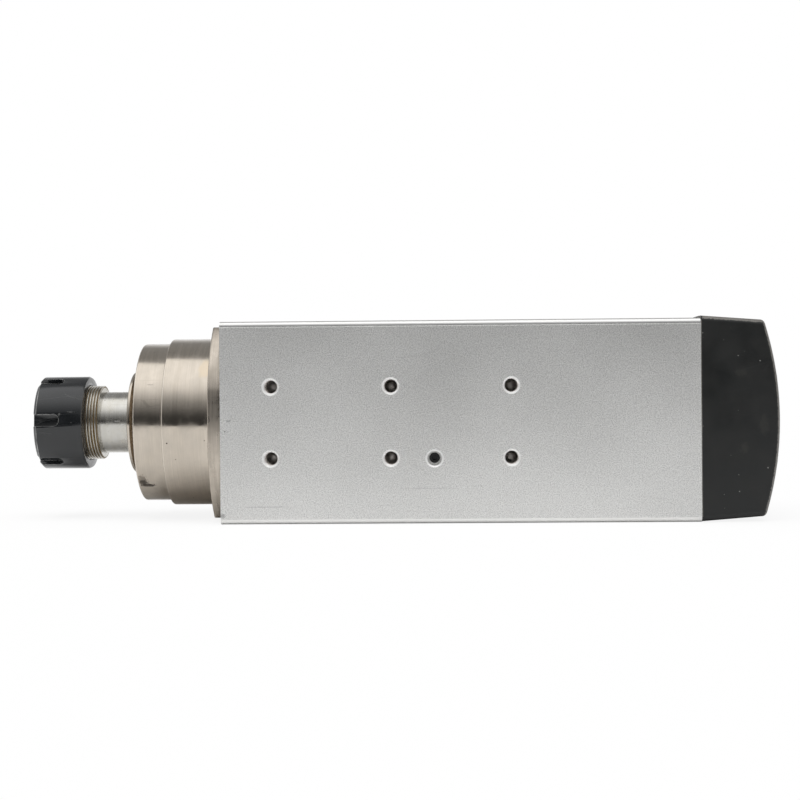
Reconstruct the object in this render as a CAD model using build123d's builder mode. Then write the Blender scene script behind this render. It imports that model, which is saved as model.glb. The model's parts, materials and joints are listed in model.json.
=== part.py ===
"""Air-cooled motor spindle with an ER32 collet nose, as an assembly of separate pieces.

Frame, in millimetres: +X runs along the spindle axis from the tool end to the fan end, with its zero
at the mouth of the collet. -Y is the bored mounting face. +Z is up, and the spindle lies on the
side face at -Z.
"""

import os
from math import asin, cos, radians, sin, sqrt, tan

from build123d import *

# ---- Clearances ----
PRESS_FIT = 0.01
RUNNING_FIT = 0.05
SEAL_GAP = 0.3
EDGE_BREAK = 0.4
TAP_RUNOUT = 2.0

# ---- Housing ----
HOUSING_WIDTH = 120.0
HOUSING_HEIGHT = 103.0
HOUSING_LENGTH = 243.0
HOUSING_EDGE_RADIUS = 2.6
BORE_RADIUS = 42.5
PANEL_RISE = 0.45
PANEL_INSET = 3.0
CHANNEL_WALL = 4.0
CHANNEL_BORE_WALL = 5.0
CHANNEL_INNER_Y = 22.0
CHANNEL_INNER_Z = 28.0
FIN_THICKNESS = 2.0
FIN_COUNT = 3

# ---- Mounting holes in the -Y face ----
MOUNT_PITCH = 61.0
MOUNT_SPACING = 36.5
MOUNT_FIRST = 25.7
MOUNT_HOLE_RADIUS = 3.4
MOUNT_MOUTH_RADIUS = 4.5
MOUNT_HOLE_DEPTH = 18.0

# ---- Screw that locks the stator ----
LOCK_HOLE_OFFSET = 108.7
LOCK_HOLE_Z = -18.5
LOCK_MOUTH_RADIUS = 4.6
LOCK_ENTRY_RADIUS = 3.65
LOCK_ENTRY_DEPTH = 8.0
LOCK_SCREW_RADIUS = 2.7
LOCK_SCREW_RECESS = 10.7
LOCK_DIMPLE = 1.0

# ---- Collet nut and collet ----
NUT_RADIUS = 25.0
NUT_LENGTH = 26.1
NUT_FRONT_CHAMFER = 1.6
NUT_REAR_CHAMFER = 1.1
NUT_REAR_DROP = 0.6
NUT_SLOT_COUNT = 6
NUT_SLOT_WIDTH = 6.4
NUT_SLOT_LENGTH = 13.8
NUT_SLOT_DEPTH = 2.8
NUT_SLOT_PHASE = 4.0
COLLET_BORE_RADIUS = 6.0
COLLET_LENGTH = 40.0
COLLET_RADIUS = 16.5
COLLET_FACE_RADIUS = 13.9
COLLET_CONE_LENGTH = 4.3
COLLET_RIM_RADIUS = 16.2
COLLET_GROOVE_START = 4.9
COLLET_GROOVE_WIDTH = 2.9
COLLET_GROOVE_RADIUS = 13.9
COLLET_TAPER_DEG = 8.0
COLLET_SLIT_COUNT = 8
COLLET_SLIT_WIDTH = 1.0
COLLET_SLIT_STOP = 5.0
EXTRACTOR_RADIUS = 15.1
EXTRACTOR_WIDTH = 2.2

# ---- Spindle shaft ----
SHAFT_FRONT = 9.0
THREAD_RADIUS = 20.0
THREAD_REACH = 7.4
NECK_RADIUS = 16.5
NECK_LENGTH = 17.1
COLLAR_RADIUS = 20.5
COLLAR_LENGTH = 11.4
SOCKET_DEPTH = 33.0
SOCKET_BORE_RADIUS = 9.0
SOCKET_BORE_DEPTH = 22.0
ROTOR_SEAT_RADIUS = 17.4
SHAFT_REAR_RADIUS = 15.0
FAN_SEAT_RADIUS = 9.0

# ---- Slinger and front seal ----
SLINGER_RADIUS = 27.3
SLINGER_THICKNESS = 2.8
SLINGER_HUB_RADIUS = 24.3
SLINGER_SPACE = 3.4
SEAL_CAP_RADIUS = 38.4
SEAL_CAP_PLATE = 4.0

# ---- Nose ----
NOSE_RADIUS = 42.5
NOSE_LENGTH = 15.3
SHOULDER_RADIUS = 45.0
SHOULDER_LENGTH = 26.4
FLANGE_THICKNESS = 6.5
FLANGE_FLAT_INSET = 1.8
FLANGE_CROWN = 2.0
REGISTER_LENGTH = 8.0
REGISTER_WALL = 9.5
BEARING_LIP = 3.5

# ---- Bearings: bore, inner land, outer land, outside radius, width ----
FRONT_BEARING_BORE = 17.5
FRONT_BEARING_INNER_LAND = 21.6
FRONT_BEARING_OUTER_LAND = 27.0
FRONT_BEARING_OUTSIDE = 31.0
FRONT_BEARING_WIDTH = 14.0
REAR_BEARING_BORE = 12.5
REAR_BEARING_INNER_LAND = 16.2
REAR_BEARING_OUTER_LAND = 22.4
REAR_BEARING_OUTSIDE = 26.0
REAR_BEARING_WIDTH = 15.0
BALL_CLEARANCE = 0.15
CAGE_INSET = 2.0
SPACER_LENGTH = 8.0
FRONT_LOCKNUT_RADIUS = 26.0
FRONT_LOCKNUT_LENGTH = 9.0
REAR_LOCKNUT_RADIUS = 17.0
REAR_LOCKNUT_LENGTH = 6.0
LOCKNUT_SLOT = 5.0

# ---- Motor ----
STATOR_FRONT_SPACE = 20.0
STATOR_LENGTH = 140.0
STATOR_INNER_RADIUS = 26.0
AIR_GAP = 0.4
WINDING_LENGTH = 12.0
WINDING_INNER_RADIUS = 28.5
WINDING_OUTER_RADIUS = 41.0
WINDING_CHAMFER = 3.0
END_RING_LENGTH = 6.0
END_RING_INNER_RADIUS = 18.5

# ---- Rear bearing bracket ----
BRACKET_FLANGE_RADIUS = 49.0
BRACKET_FLANGE_INSET = 5.5
BRACKET_FLANGE_THICKNESS = 5.0
BRACKET_REGISTER_LENGTH = 8.0
BRACKET_HUB_RADIUS = 31.0
BRACKET_HUB_LEAD = 2.0
BRACKET_LIP = 3.5
BRACKET_OPENING_RADIUS = 20.0
SPRING_LENGTH = 2.5

# ---- Fan ----
FAN_RADIUS = 40.0
FAN_HUB_RADIUS = 14.0
FAN_PLATE = 2.0
FAN_LENGTH = 15.0
FAN_BLADES = 9
FAN_BLADE_THICKNESS = 2.0
FAN_SPACE = 2.0

# ---- Rear cover ----
COVER_STEP = 0.2
COVER_EDGE_RADIUS = 3.0
COVER_LENGTH = 40.3
COVER_TOP_RISE = 1.1
COVER_LIP_LENGTH = 1.8
COVER_LIP_EDGE = 0.25
COVER_DRAFT_DEG = 4.1
COVER_DOME_RADIUS = 163.0
COVER_WALL = 3.0
COVER_REAR_ROUND = 2.5
COVER_BOSS_RADIUS = 5.4
COVER_SCREW_SEAT = 6.0
GRILLE_RADIUS = 40.0
GRILLE_PITCH = 6.0
GRILLE_SLOT = 3.2
GRILLE_RIB = 3.0

# ---- Terminal box on the +Y face ----
BOX_LENGTH = 60.0
BOX_WIDTH = 55.0
BOX_DEPTH = 26.0
BOX_WALL = 3.0
BOX_FLOOR = 4.0
BOX_CORNER = 6.0
BOX_REAR_INSET = 6.0
BOX_POST_RADIUS = 4.5
BOX_POST_INSET = 1.5
BOX_SCREW_PITCH = 30.0
GASKET_THICKNESS = 1.0
LID_THICKNESS = 6.0
LID_EDGE_RADIUS = 1.5
WIRE_HOLE_RADIUS = 7.0
TERMINAL_COUNT = 4
TERMINAL_PITCH = 9.0
TERMINAL_BLOCK_WIDTH = 12.0
TERMINAL_BLOCK_HEIGHT = 10.0
TERMINAL_RADIUS = 3.0
TERMINAL_DEPTH = 5.0
TERMINAL_RECESS = 2.0

# ---- Cable gland ----
CORD_RADIUS = 4.0
GLAND_SEAL_RADIUS = 6.4
GLAND_THREAD_RADIUS = 8.0
GLAND_HEX = 22.0
GLAND_HEX_LENGTH = 7.0
GLAND_THREAD_REACH = 6.0
GLAND_WALL = 1.0
GLAND_NUT_LENGTH = 13.0
GLAND_NUT_RADIUS = 10.6
GLAND_NUT_SPACE = 0.5
GLAND_NUT_TAPER = 4.0
GLAND_SEAL_LENGTH = 10.0
GLAND_LOCKNUT_LENGTH = 4.0
GLAND_LOCKNUT_HEX = 20.0

# ---- Screws: shank and head radius, head height, length, key across flats ----
FLANGE_SCREW_SHANK = 2.5
FLANGE_SCREW_MARGIN = 1.8
FLANGE_SCREW_LENGTH = 18.0
FLANGE_SCREW_KEY = 3.0
CAP_SCREW_SHANK = 2.0
CAP_SCREW_HEAD = 3.7
CAP_SCREW_HEAD_HEIGHT = 2.2
CAP_SCREW_LENGTH = 12.0
CAP_SCREW_KEY = 2.5
BRACKET_SCREW_SHANK = 2.5
BRACKET_SCREW_HEAD = 4.25
BRACKET_SCREW_HEAD_HEIGHT = 5.0
BRACKET_SCREW_LENGTH = 16.0
BRACKET_SCREW_KEY = 4.0
COVER_SCREW_SHANK = 2.0
COVER_SCREW_HEAD = 3.5
COVER_SCREW_HEAD_HEIGHT = 4.0
COVER_SCREW_LENGTH = 16.0
COVER_SCREW_KEY = 3.0
LID_SCREW_SHANK = 2.0
LID_SCREW_HEAD = 3.5
LID_SCREW_HEAD_HEIGHT = 2.6
LID_SCREW_LENGTH = 14.0
LID_SCREW_KEY = 2.5
BOX_SCREW_SHANK = 2.0
BOX_SCREW_HEAD = 3.5
BOX_SCREW_HEAD_HEIGHT = 2.6
BOX_SCREW_LENGTH = 12.0
BOX_SCREW_KEY = 2.5
FAN_SCREW_SHANK = 3.0
FAN_SCREW_HEAD = 10.5
FAN_SCREW_HEAD_HEIGHT = 3.0
FAN_SCREW_LENGTH = 14.0
FAN_SCREW_KEY = 5.0
FLANGE_SCREW_DEG = 22.0
CAP_SCREW_CIRCLE = 34.3
CAP_SCREW_COUNT = 6
BRACKET_SCREW_CIRCLE = 46.2
COVER_SCREW_Y_INSET = 9.0
COVER_SCREW_Z = 22.0

# ---- Stations along the axis, worked out from the sizes above ----
thread_end = NUT_LENGTH + THREAD_REACH
collar_front = thread_end + NECK_LENGTH
collar_rear = collar_front + COLLAR_LENGTH
slinger_rear = collar_front + SLINGER_THICKNESS
nose_front = slinger_rear + SLINGER_SPACE
nose_step = nose_front + NOSE_LENGTH
flange_front = nose_step + SHOULDER_LENGTH
housing_front = flange_front + FLANGE_THICKNESS
housing_rear = housing_front + HOUSING_LENGTH
second_bearing = collar_rear + FRONT_BEARING_WIDTH + SPACER_LENGTH
front_stack_rear = second_bearing + FRONT_BEARING_WIDTH
stator_front = housing_front + STATOR_FRONT_SPACE
stator_rear = stator_front + STATOR_LENGTH
bracket_rear = housing_rear + BRACKET_FLANGE_THICKNESS
bracket_seat_rear = bracket_rear - BRACKET_LIP
rear_bearing_rear = bracket_seat_rear - SPRING_LENGTH
rear_bearing_front = rear_bearing_rear - REAR_BEARING_WIDTH
fan_front = bracket_rear + FAN_SPACE
fan_rear = fan_front + FAN_LENGTH
face_y = HOUSING_WIDTH / 2
cover_screw_y = face_y - COVER_SCREW_Y_INSET
cover_screw_seat = housing_rear + COVER_SCREW_SEAT
dome_top = housing_rear + COVER_LENGTH
box_centre_x = housing_rear - BOX_REAR_INSET - BOX_LENGTH / 2
box_rear = box_centre_x + BOX_LENGTH / 2
box_top = face_y + BOX_DEPTH
gland_y = face_y + BOX_FLOOR + GLAND_LOCKNUT_HEX / 2 + SEAL_GAP

# ---- Screws as (shank, head, head height, length, key), bearings as (bore, lands, outside, width) ----
flange_screw_head = (face_y - SHOULDER_RADIUS) / 2 - FLANGE_SCREW_MARGIN
flange_screw_sink = flange_screw_head - FLANGE_SCREW_SHANK
flange_screw = (
    FLANGE_SCREW_SHANK,
    flange_screw_head,
    flange_screw_sink,
    FLANGE_SCREW_LENGTH,
    FLANGE_SCREW_KEY,
)
cap_screw = (CAP_SCREW_SHANK, CAP_SCREW_HEAD, CAP_SCREW_HEAD_HEIGHT, CAP_SCREW_LENGTH, CAP_SCREW_KEY)
bracket_screw = (
    BRACKET_SCREW_SHANK,
    BRACKET_SCREW_HEAD,
    BRACKET_SCREW_HEAD_HEIGHT,
    BRACKET_SCREW_LENGTH,
    BRACKET_SCREW_KEY,
)
cover_screw = (
    COVER_SCREW_SHANK,
    COVER_SCREW_HEAD,
    COVER_SCREW_HEAD_HEIGHT,
    COVER_SCREW_LENGTH,
    COVER_SCREW_KEY,
)
lid_screw = (LID_SCREW_SHANK, LID_SCREW_HEAD, LID_SCREW_HEAD_HEIGHT, LID_SCREW_LENGTH, LID_SCREW_KEY)
box_screw = (BOX_SCREW_SHANK, BOX_SCREW_HEAD, BOX_SCREW_HEAD_HEIGHT, BOX_SCREW_LENGTH, BOX_SCREW_KEY)
fan_screw_sizes = (
    FAN_SCREW_SHANK,
    FAN_SCREW_HEAD,
    FAN_SCREW_HEAD_HEIGHT,
    FAN_SCREW_LENGTH,
    FAN_SCREW_KEY,
)
front_bearing = (
    FRONT_BEARING_BORE,
    FRONT_BEARING_INNER_LAND,
    FRONT_BEARING_OUTER_LAND,
    FRONT_BEARING_OUTSIDE,
    FRONT_BEARING_WIDTH,
)
rear_bearing = (
    REAR_BEARING_BORE,
    REAR_BEARING_INNER_LAND,
    REAR_BEARING_OUTER_LAND,
    REAR_BEARING_OUTSIDE,
    REAR_BEARING_WIDTH,
)


def half_section(*points):
    """The closed half profile of a turned piece, as (x, radius) points beside the spindle axis."""
    with BuildSketch(Plane.XZ) as section:
        with BuildLine():
            Polyline(*points, close=True)
        make_face()
    return section.sketch


def tube_section(inner, outer, start, end):
    """The half section of a plain ring between two radii and two stations."""
    return half_section((start, inner), (start, outer), (end, outer), (end, inner))


def cylinder_head_screw(shank, head, height, length, key):
    """A socket screw along +X whose head rests at x = 0."""
    with BuildPart() as screw:
        revolve(
            half_section(
                (-height, 0), (-height, head), (0, head), (0, shank), (length, shank), (length, 0)
            ),
            axis=Axis.X,
        )
        with BuildSketch(Plane.YZ.offset(-height)):
            RegularPolygon(key / 2, 6, major_radius=False)
        extrude(amount=height * 0.6, mode=Mode.SUBTRACT)
    return screw.part


def countersunk_screw(shank, head, height, length, key):
    """A countersunk socket screw along +X whose flat head lies at x = 0."""
    with BuildPart() as screw:
        revolve(
            half_section((0, 0), (0, head), (height, shank), (length, shank), (length, 0)),
            axis=Axis.X,
        )
        with BuildSketch(Plane.YZ):
            RegularPolygon(key / 2, 6, major_radius=False)
        extrude(amount=height * 0.7, mode=Mode.SUBTRACT)
    return screw.part


def countersunk_cutter(shank, head, height, length):
    """The hole that a countersunk screw fills, with a press-fit gap all round."""
    with BuildPart() as cutter:
        revolve(
            half_section(
                (-1, 0),
                (-1, head + PRESS_FIT),
                (0, head + PRESS_FIT),
                (height, shank + PRESS_FIT),
                (length + 1, shank + PRESS_FIT),
                (length + 1, 0),
            ),
            axis=Axis.X,
        )
    return cutter.part


def plain_cutter(radius, length):
    """A straight hole from x = 0, opened 1 mm past its mouth."""
    with BuildPart() as cutter:
        revolve(half_section((-1, 0), (-1, radius), (length, radius), (length, 0)), axis=Axis.X)
    return cutter.part


def tapped_cutter(shank, engaged):
    """The hole for a screw's shank, drilled on past the length that the screw engages."""
    return plain_cutter(shank + PRESS_FIT, engaged + TAP_RUNOUT)


def blind_cutter(radius, mouth, depth):
    """A drilled hole along +X: a 45 degree mouth, a straight wall and the drill's cone."""
    with BuildPart() as cutter:
        revolve(
            half_section(
                (-1, 0),
                (-1, mouth + 1),
                (mouth - radius, radius),
                (depth, radius),
                (depth + 0.6 * radius, 0),
            ),
            axis=Axis.X,
        )
    return cutter.part


def round_nut(bore, radius, length, front):
    """A slotted round lock nut on the spindle axis."""
    with BuildPart() as nut:
        revolve(tube_section(bore + PRESS_FIT, radius, front, front + length), axis=Axis.X)
        with BuildSketch(Plane.YZ.offset(front)):
            with PolarLocations(radius, 4):
                Rectangle(LOCKNUT_SLOT * 0.8, LOCKNUT_SLOT)
        extrude(amount=length, mode=Mode.SUBTRACT)
    return nut.part


def four_spots(y, z):
    """Four (y, z) spots, mirrored about both axes."""
    return [(-y, -z), (-y, z), (y, -z), (y, z)]


def ring_spots(circle, count):
    """(y, z) spots spaced evenly round a circle about the spindle axis."""
    return [
        (circle * cos(radians(360 * i / count)), circle * sin(radians(360 * i / count)))
        for i in range(count)
    ]


def facing_rear(x, spots):
    """Locations at (y, z) spots whose +X runs to the rear."""
    return [Location((x, y, z)) for y, z in spots]


def facing_front(x, spots):
    """Locations at (y, z) spots whose +X runs to the tool end."""
    return [Location((x, y, z), (0, 0, 180)) for y, z in spots]


def facing_plus_y(y, spots):
    """Locations at (x, z) spots whose +X runs along +Y."""
    return [Location((x, y, z), (0, 0, 90)) for x, z in spots]


def facing_minus_y(y, spots):
    """Locations at (x, z) spots whose +X runs along -Y."""
    return [Location((x, y, z), (0, 0, -90)) for x, z in spots]


flange_circle = (face_y + SHOULDER_RADIUS) / 2
flange_spots = four_spots(
    flange_circle * cos(radians(FLANGE_SCREW_DEG)), flange_circle * sin(radians(FLANGE_SCREW_DEG))
)
cover_spots = four_spots(cover_screw_y, COVER_SCREW_Z)
bracket_screw_z = COVER_SCREW_Z - COVER_BOSS_RADIUS - BRACKET_SCREW_HEAD - SEAL_GAP
bracket_spots = four_spots(sqrt(BRACKET_SCREW_CIRCLE**2 - bracket_screw_z**2), bracket_screw_z)
cap_spots = ring_spots(CAP_SCREW_CIRCLE, CAP_SCREW_COUNT)
mount_columns = [housing_front + MOUNT_FIRST + i * MOUNT_PITCH for i in range(3)]
mount_spots = [(x, z) for x in mount_columns for z in (-MOUNT_SPACING / 2, MOUNT_SPACING / 2)]
lock_x = housing_front + LOCK_HOLE_OFFSET
lock_wall = face_y - sqrt(BORE_RADIUS**2 - LOCK_HOLE_Z**2)
box_post_x = BOX_LENGTH / 2 - BOX_POST_RADIUS - BOX_POST_INSET
box_post_z = BOX_WIDTH / 2 - BOX_POST_RADIUS - BOX_POST_INSET
lid_spots = [(box_centre_x + i * box_post_x, j * box_post_z) for i in (-1, 1) for j in (-1, 1)]
box_screw_spots = [(box_centre_x + i * BOX_SCREW_PITCH / 2, 0) for i in (-1, 1)]

pieces = {}

# ---- Housing: an extruded body with the motor bore and finned air channels in its corners ----
with BuildSketch(Plane.YZ.offset(housing_front)) as housing_outline:
    with Locations((PANEL_RISE / 2, 0)):
        RectangleRounded(HOUSING_WIDTH - PANEL_RISE, HOUSING_HEIGHT, HOUSING_EDGE_RADIUS)
    with Locations((PANEL_RISE - face_y, 0)):
        Rectangle(2 * PANEL_RISE, HOUSING_HEIGHT - 2 * PANEL_INSET)
    Circle(BORE_RADIUS, mode=Mode.SUBTRACT)

channel_y = face_y - CHANNEL_WALL
channel_z = HOUSING_HEIGHT / 2 - CHANNEL_WALL
fin_pitch = (channel_y - CHANNEL_INNER_Y) / (FIN_COUNT + 1)
with BuildSketch(Plane.YZ.offset(housing_front)) as air_channels:
    with Locations(((CHANNEL_INNER_Y + channel_y) / 2, (CHANNEL_INNER_Z + channel_z) / 2)):
        RectangleRounded(channel_y - CHANNEL_INNER_Y, channel_z - CHANNEL_INNER_Z, FIN_THICKNESS)
    for i in range(FIN_COUNT):
        with Locations((CHANNEL_INNER_Y + (i + 1) * fin_pitch, channel_z)):
            Rectangle(FIN_THICKNESS, 2 * channel_z, mode=Mode.SUBTRACT)
    Circle(BORE_RADIUS + CHANNEL_BORE_WALL, mode=Mode.SUBTRACT)
    mirror(about=Plane.XZ)
    mirror(about=Plane.YZ)

with BuildPart() as housing:
    extrude(housing_outline.sketch, amount=HOUSING_LENGTH)
    extrude(air_channels.sketch, amount=HOUSING_LENGTH, mode=Mode.SUBTRACT)
    with Locations(*facing_plus_y(-face_y, mount_spots)):
        add(blind_cutter(MOUNT_HOLE_RADIUS, MOUNT_MOUTH_RADIUS, MOUNT_HOLE_DEPTH), mode=Mode.SUBTRACT)
    with Locations(*facing_plus_y(-face_y, [(lock_x, LOCK_HOLE_Z)])):
        add(blind_cutter(LOCK_ENTRY_RADIUS, LOCK_MOUTH_RADIUS, LOCK_ENTRY_DEPTH), mode=Mode.SUBTRACT)
        add(plain_cutter(LOCK_SCREW_RADIUS + PRESS_FIT, lock_wall + 1), mode=Mode.SUBTRACT)
    with Locations(*facing_rear(housing_front, flange_spots)):
        add(tapped_cutter(FLANGE_SCREW_SHANK, FLANGE_SCREW_LENGTH - FLANGE_THICKNESS), mode=Mode.SUBTRACT)
    with Locations(*facing_front(housing_rear, bracket_spots)):
        add(
            tapped_cutter(BRACKET_SCREW_SHANK, BRACKET_SCREW_LENGTH - BRACKET_FLANGE_THICKNESS),
            mode=Mode.SUBTRACT,
        )
    with Locations(*facing_front(housing_rear, cover_spots)):
        add(tapped_cutter(COVER_SCREW_SHANK, COVER_SCREW_LENGTH - COVER_SCREW_SEAT), mode=Mode.SUBTRACT)
    with Locations(*facing_minus_y(face_y, [(box_centre_x, 0)])):
        add(plain_cutter(WIRE_HOLE_RADIUS, face_y - BORE_RADIUS + 1), mode=Mode.SUBTRACT)
    with Locations(*facing_minus_y(face_y, box_screw_spots)):
        add(tapped_cutter(BOX_SCREW_SHANK, BOX_SCREW_LENGTH - BOX_FLOOR), mode=Mode.SUBTRACT)
pieces["housing"] = housing

# ---- Stator and its lock screw ----
with BuildPart() as stator_core:
    revolve(
        tube_section(STATOR_INNER_RADIUS, BORE_RADIUS - PRESS_FIT, stator_front, stator_rear),
        axis=Axis.X,
    )
    with Locations(*facing_plus_y(-face_y, [(lock_x, LOCK_HOLE_Z)])):
        add(plain_cutter(LOCK_SCREW_RADIUS + PRESS_FIT, lock_wall + LOCK_DIMPLE), mode=Mode.SUBTRACT)
pieces["stator_core"] = stator_core

lock_screw_length = lock_wall + LOCK_DIMPLE - LOCK_SCREW_RECESS
with BuildPart() as stator_lock_screw:
    with BuildSketch(Plane.XZ.offset(face_y - LOCK_SCREW_RECESS)):
        with Locations((lock_x, LOCK_HOLE_Z)):
            Circle(LOCK_SCREW_RADIUS)
    extrude(amount=-lock_screw_length)
    with BuildSketch(Plane.XZ.offset(face_y - LOCK_SCREW_RECESS)):
        with Locations((lock_x, LOCK_HOLE_Z)):
            RegularPolygon(LOCK_SCREW_RADIUS / 2, 6, major_radius=False)
    extrude(amount=-lock_screw_length / 3, mode=Mode.SUBTRACT)
pieces["stator_lock_screw"] = stator_lock_screw

for name, start in (
    ("stator_winding_front", stator_front - WINDING_LENGTH),
    ("stator_winding_rear", stator_rear),
):
    end = start + WINDING_LENGTH
    with BuildPart() as winding:
        revolve(
            half_section(
                (start, WINDING_INNER_RADIUS + WINDING_CHAMFER),
                (start, WINDING_OUTER_RADIUS - WINDING_CHAMFER),
                (start + WINDING_CHAMFER, WINDING_OUTER_RADIUS),
                (end - WINDING_CHAMFER, WINDING_OUTER_RADIUS),
                (end, WINDING_OUTER_RADIUS - WINDING_CHAMFER),
                (end, WINDING_INNER_RADIUS + WINDING_CHAMFER),
                (end - WINDING_CHAMFER, WINDING_INNER_RADIUS),
                (start + WINDING_CHAMFER, WINDING_INNER_RADIUS),
            ),
            axis=Axis.X,
        )
    pieces[name] = winding

# ---- Nose: bearing housing with the mounting flange, turned in one piece ----
flange_half_height = HOUSING_HEIGHT / 2 - FLANGE_FLAT_INSET
register_end = housing_front + REGISTER_LENGTH
cap_seat = nose_front + SEAL_CAP_PLATE
lip_rear = front_stack_rear + BEARING_LIP
with BuildPart() as front_bearing_housing:
    with BuildSketch(Plane.YZ.offset(flange_front)):
        Circle(face_y + FLANGE_CROWN)
        Rectangle(HOUSING_WIDTH, 2 * flange_half_height, mode=Mode.INTERSECT)
    extrude(amount=FLANGE_THICKNESS)
    chamfer(faces().sort_by(Axis.X)[0].edges(), length=EDGE_BREAK)
    revolve(
        half_section(
            (nose_front, 0),
            (nose_front, NOSE_RADIUS - EDGE_BREAK),
            (nose_front + EDGE_BREAK, NOSE_RADIUS),
            (nose_step, NOSE_RADIUS),
            (nose_step, SHOULDER_RADIUS - EDGE_BREAK),
            (nose_step + EDGE_BREAK, SHOULDER_RADIUS),
            (flange_front + EDGE_BREAK, SHOULDER_RADIUS),
            (housing_front, BORE_RADIUS - PRESS_FIT),
            (register_end, BORE_RADIUS - PRESS_FIT),
            (register_end, 0),
        ),
        axis=Axis.X,
    )
    revolve(
        half_section(
            (nose_front - 1, 0),
            (nose_front - 1, SEAL_CAP_RADIUS + PRESS_FIT),
            (cap_seat, SEAL_CAP_RADIUS + PRESS_FIT),
            (cap_seat, FRONT_BEARING_OUTSIDE + PRESS_FIT),
            (front_stack_rear, FRONT_BEARING_OUTSIDE + PRESS_FIT),
            (front_stack_rear, FRONT_BEARING_OUTER_LAND + 0.5),
            (lip_rear, FRONT_BEARING_OUTER_LAND + 0.5),
            (lip_rear, BORE_RADIUS - REGISTER_WALL),
            (register_end + 1, BORE_RADIUS - REGISTER_WALL),
            (register_end + 1, 0),
        ),
        axis=Axis.X,
        mode=Mode.SUBTRACT,
    )
    with Locations(*facing_rear(flange_front, flange_spots)):
        add(countersunk_cutter(*flange_screw[:4]), mode=Mode.SUBTRACT)
    with Locations(*facing_rear(cap_seat, cap_spots)):
        add(tapped_cutter(CAP_SCREW_SHANK, CAP_SCREW_LENGTH - SEAL_CAP_PLATE), mode=Mode.SUBTRACT)
pieces["front_bearing_housing"] = front_bearing_housing

with BuildPart() as flange_screws:
    with Locations(*facing_rear(flange_front, flange_spots)):
        add(countersunk_screw(*flange_screw))
pieces["flange_screws"] = flange_screws

with BuildPart() as front_seal_cap:
    revolve(
        half_section(
            (nose_front, SLINGER_HUB_RADIUS + SEAL_GAP),
            (nose_front, SEAL_CAP_RADIUS),
            (cap_seat, SEAL_CAP_RADIUS),
            (cap_seat, FRONT_BEARING_OUTSIDE - PRESS_FIT),
            (collar_rear, FRONT_BEARING_OUTSIDE - PRESS_FIT),
            (collar_rear, FRONT_BEARING_OUTER_LAND),
            (cap_seat, FRONT_BEARING_OUTER_LAND),
            (cap_seat, SLINGER_HUB_RADIUS + SEAL_GAP),
        ),
        axis=Axis.X,
    )
    with Locations(*facing_rear(nose_front, cap_spots)):
        add(countersunk_cutter(*cap_screw[:4]), mode=Mode.SUBTRACT)
pieces["front_seal_cap"] = front_seal_cap

with BuildPart() as seal_cap_screws:
    with Locations(*facing_rear(nose_front, cap_spots)):
        add(countersunk_screw(*cap_screw))
pieces["seal_cap_screws"] = seal_cap_screws

# ---- Spindle shaft ----
taper = tan(radians(COLLET_TAPER_DEG))
collet_body_start = COLLET_GROOVE_START + COLLET_GROOVE_WIDTH


def collet_radius(x):
    """Radius of the collet's long taper at a station."""
    return COLLET_RADIUS - taper * (x - collet_body_start)


socket_end = SHAFT_FRONT + SOCKET_DEPTH
socket_bore_end = socket_end + SOCKET_BORE_DEPTH
locknut_end = front_stack_rear + FRONT_LOCKNUT_LENGTH
rear_locknut_end = rear_bearing_rear + REAR_LOCKNUT_LENGTH
rotor_end = stator_rear + END_RING_LENGTH
rotor_front = stator_front - END_RING_LENGTH
with BuildPart() as spindle_shaft:
    revolve(
        half_section(
            (SHAFT_FRONT, 0),
            (SHAFT_FRONT, THREAD_RADIUS - 1),
            (SHAFT_FRONT + 1, THREAD_RADIUS),
            (thread_end, THREAD_RADIUS),
            (thread_end, NECK_RADIUS),
            (collar_front, NECK_RADIUS),
            (collar_front, COLLAR_RADIUS),
            (collar_rear, COLLAR_RADIUS),
            (collar_rear, FRONT_BEARING_BORE),
            (locknut_end, FRONT_BEARING_BORE),
            (locknut_end, ROTOR_SEAT_RADIUS),
            (rotor_end, ROTOR_SEAT_RADIUS),
            (rotor_end, SHAFT_REAR_RADIUS),
            (rear_bearing_front, SHAFT_REAR_RADIUS),
            (rear_bearing_front, REAR_BEARING_BORE),
            (rear_locknut_end, REAR_BEARING_BORE),
            (rear_locknut_end, FAN_SEAT_RADIUS),
            (fan_rear, FAN_SEAT_RADIUS),
            (fan_rear, 0),
        ),
        axis=Axis.X,
    )
    revolve(
        half_section(
            (SHAFT_FRONT, 0),
            (SHAFT_FRONT, collet_radius(SHAFT_FRONT) + RUNNING_FIT),
            (socket_end, collet_radius(socket_end) + RUNNING_FIT),
            (socket_end, SOCKET_BORE_RADIUS),
            (socket_bore_end, SOCKET_BORE_RADIUS),
            (socket_bore_end + SOCKET_BORE_RADIUS * 0.6, 0),
        ),
        axis=Axis.X,
        mode=Mode.SUBTRACT,
    )
    with Locations(*facing_front(fan_rear, [(0, 0)])):
        add(plain_cutter(FAN_SCREW_SHANK + PRESS_FIT, FAN_SCREW_LENGTH + 2), mode=Mode.SUBTRACT)
pieces["spindle_shaft"] = spindle_shaft

with BuildPart() as slinger_ring:
    revolve(
        half_section(
            (collar_front, COLLAR_RADIUS + PRESS_FIT),
            (collar_front, SLINGER_RADIUS - EDGE_BREAK),
            (collar_front + EDGE_BREAK, SLINGER_RADIUS),
            (slinger_rear, SLINGER_RADIUS),
            (slinger_rear, SLINGER_HUB_RADIUS),
            (collar_rear, SLINGER_HUB_RADIUS),
            (collar_rear, COLLAR_RADIUS + PRESS_FIT),
        ),
        axis=Axis.X,
    )
pieces["slinger_ring"] = slinger_ring

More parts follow.
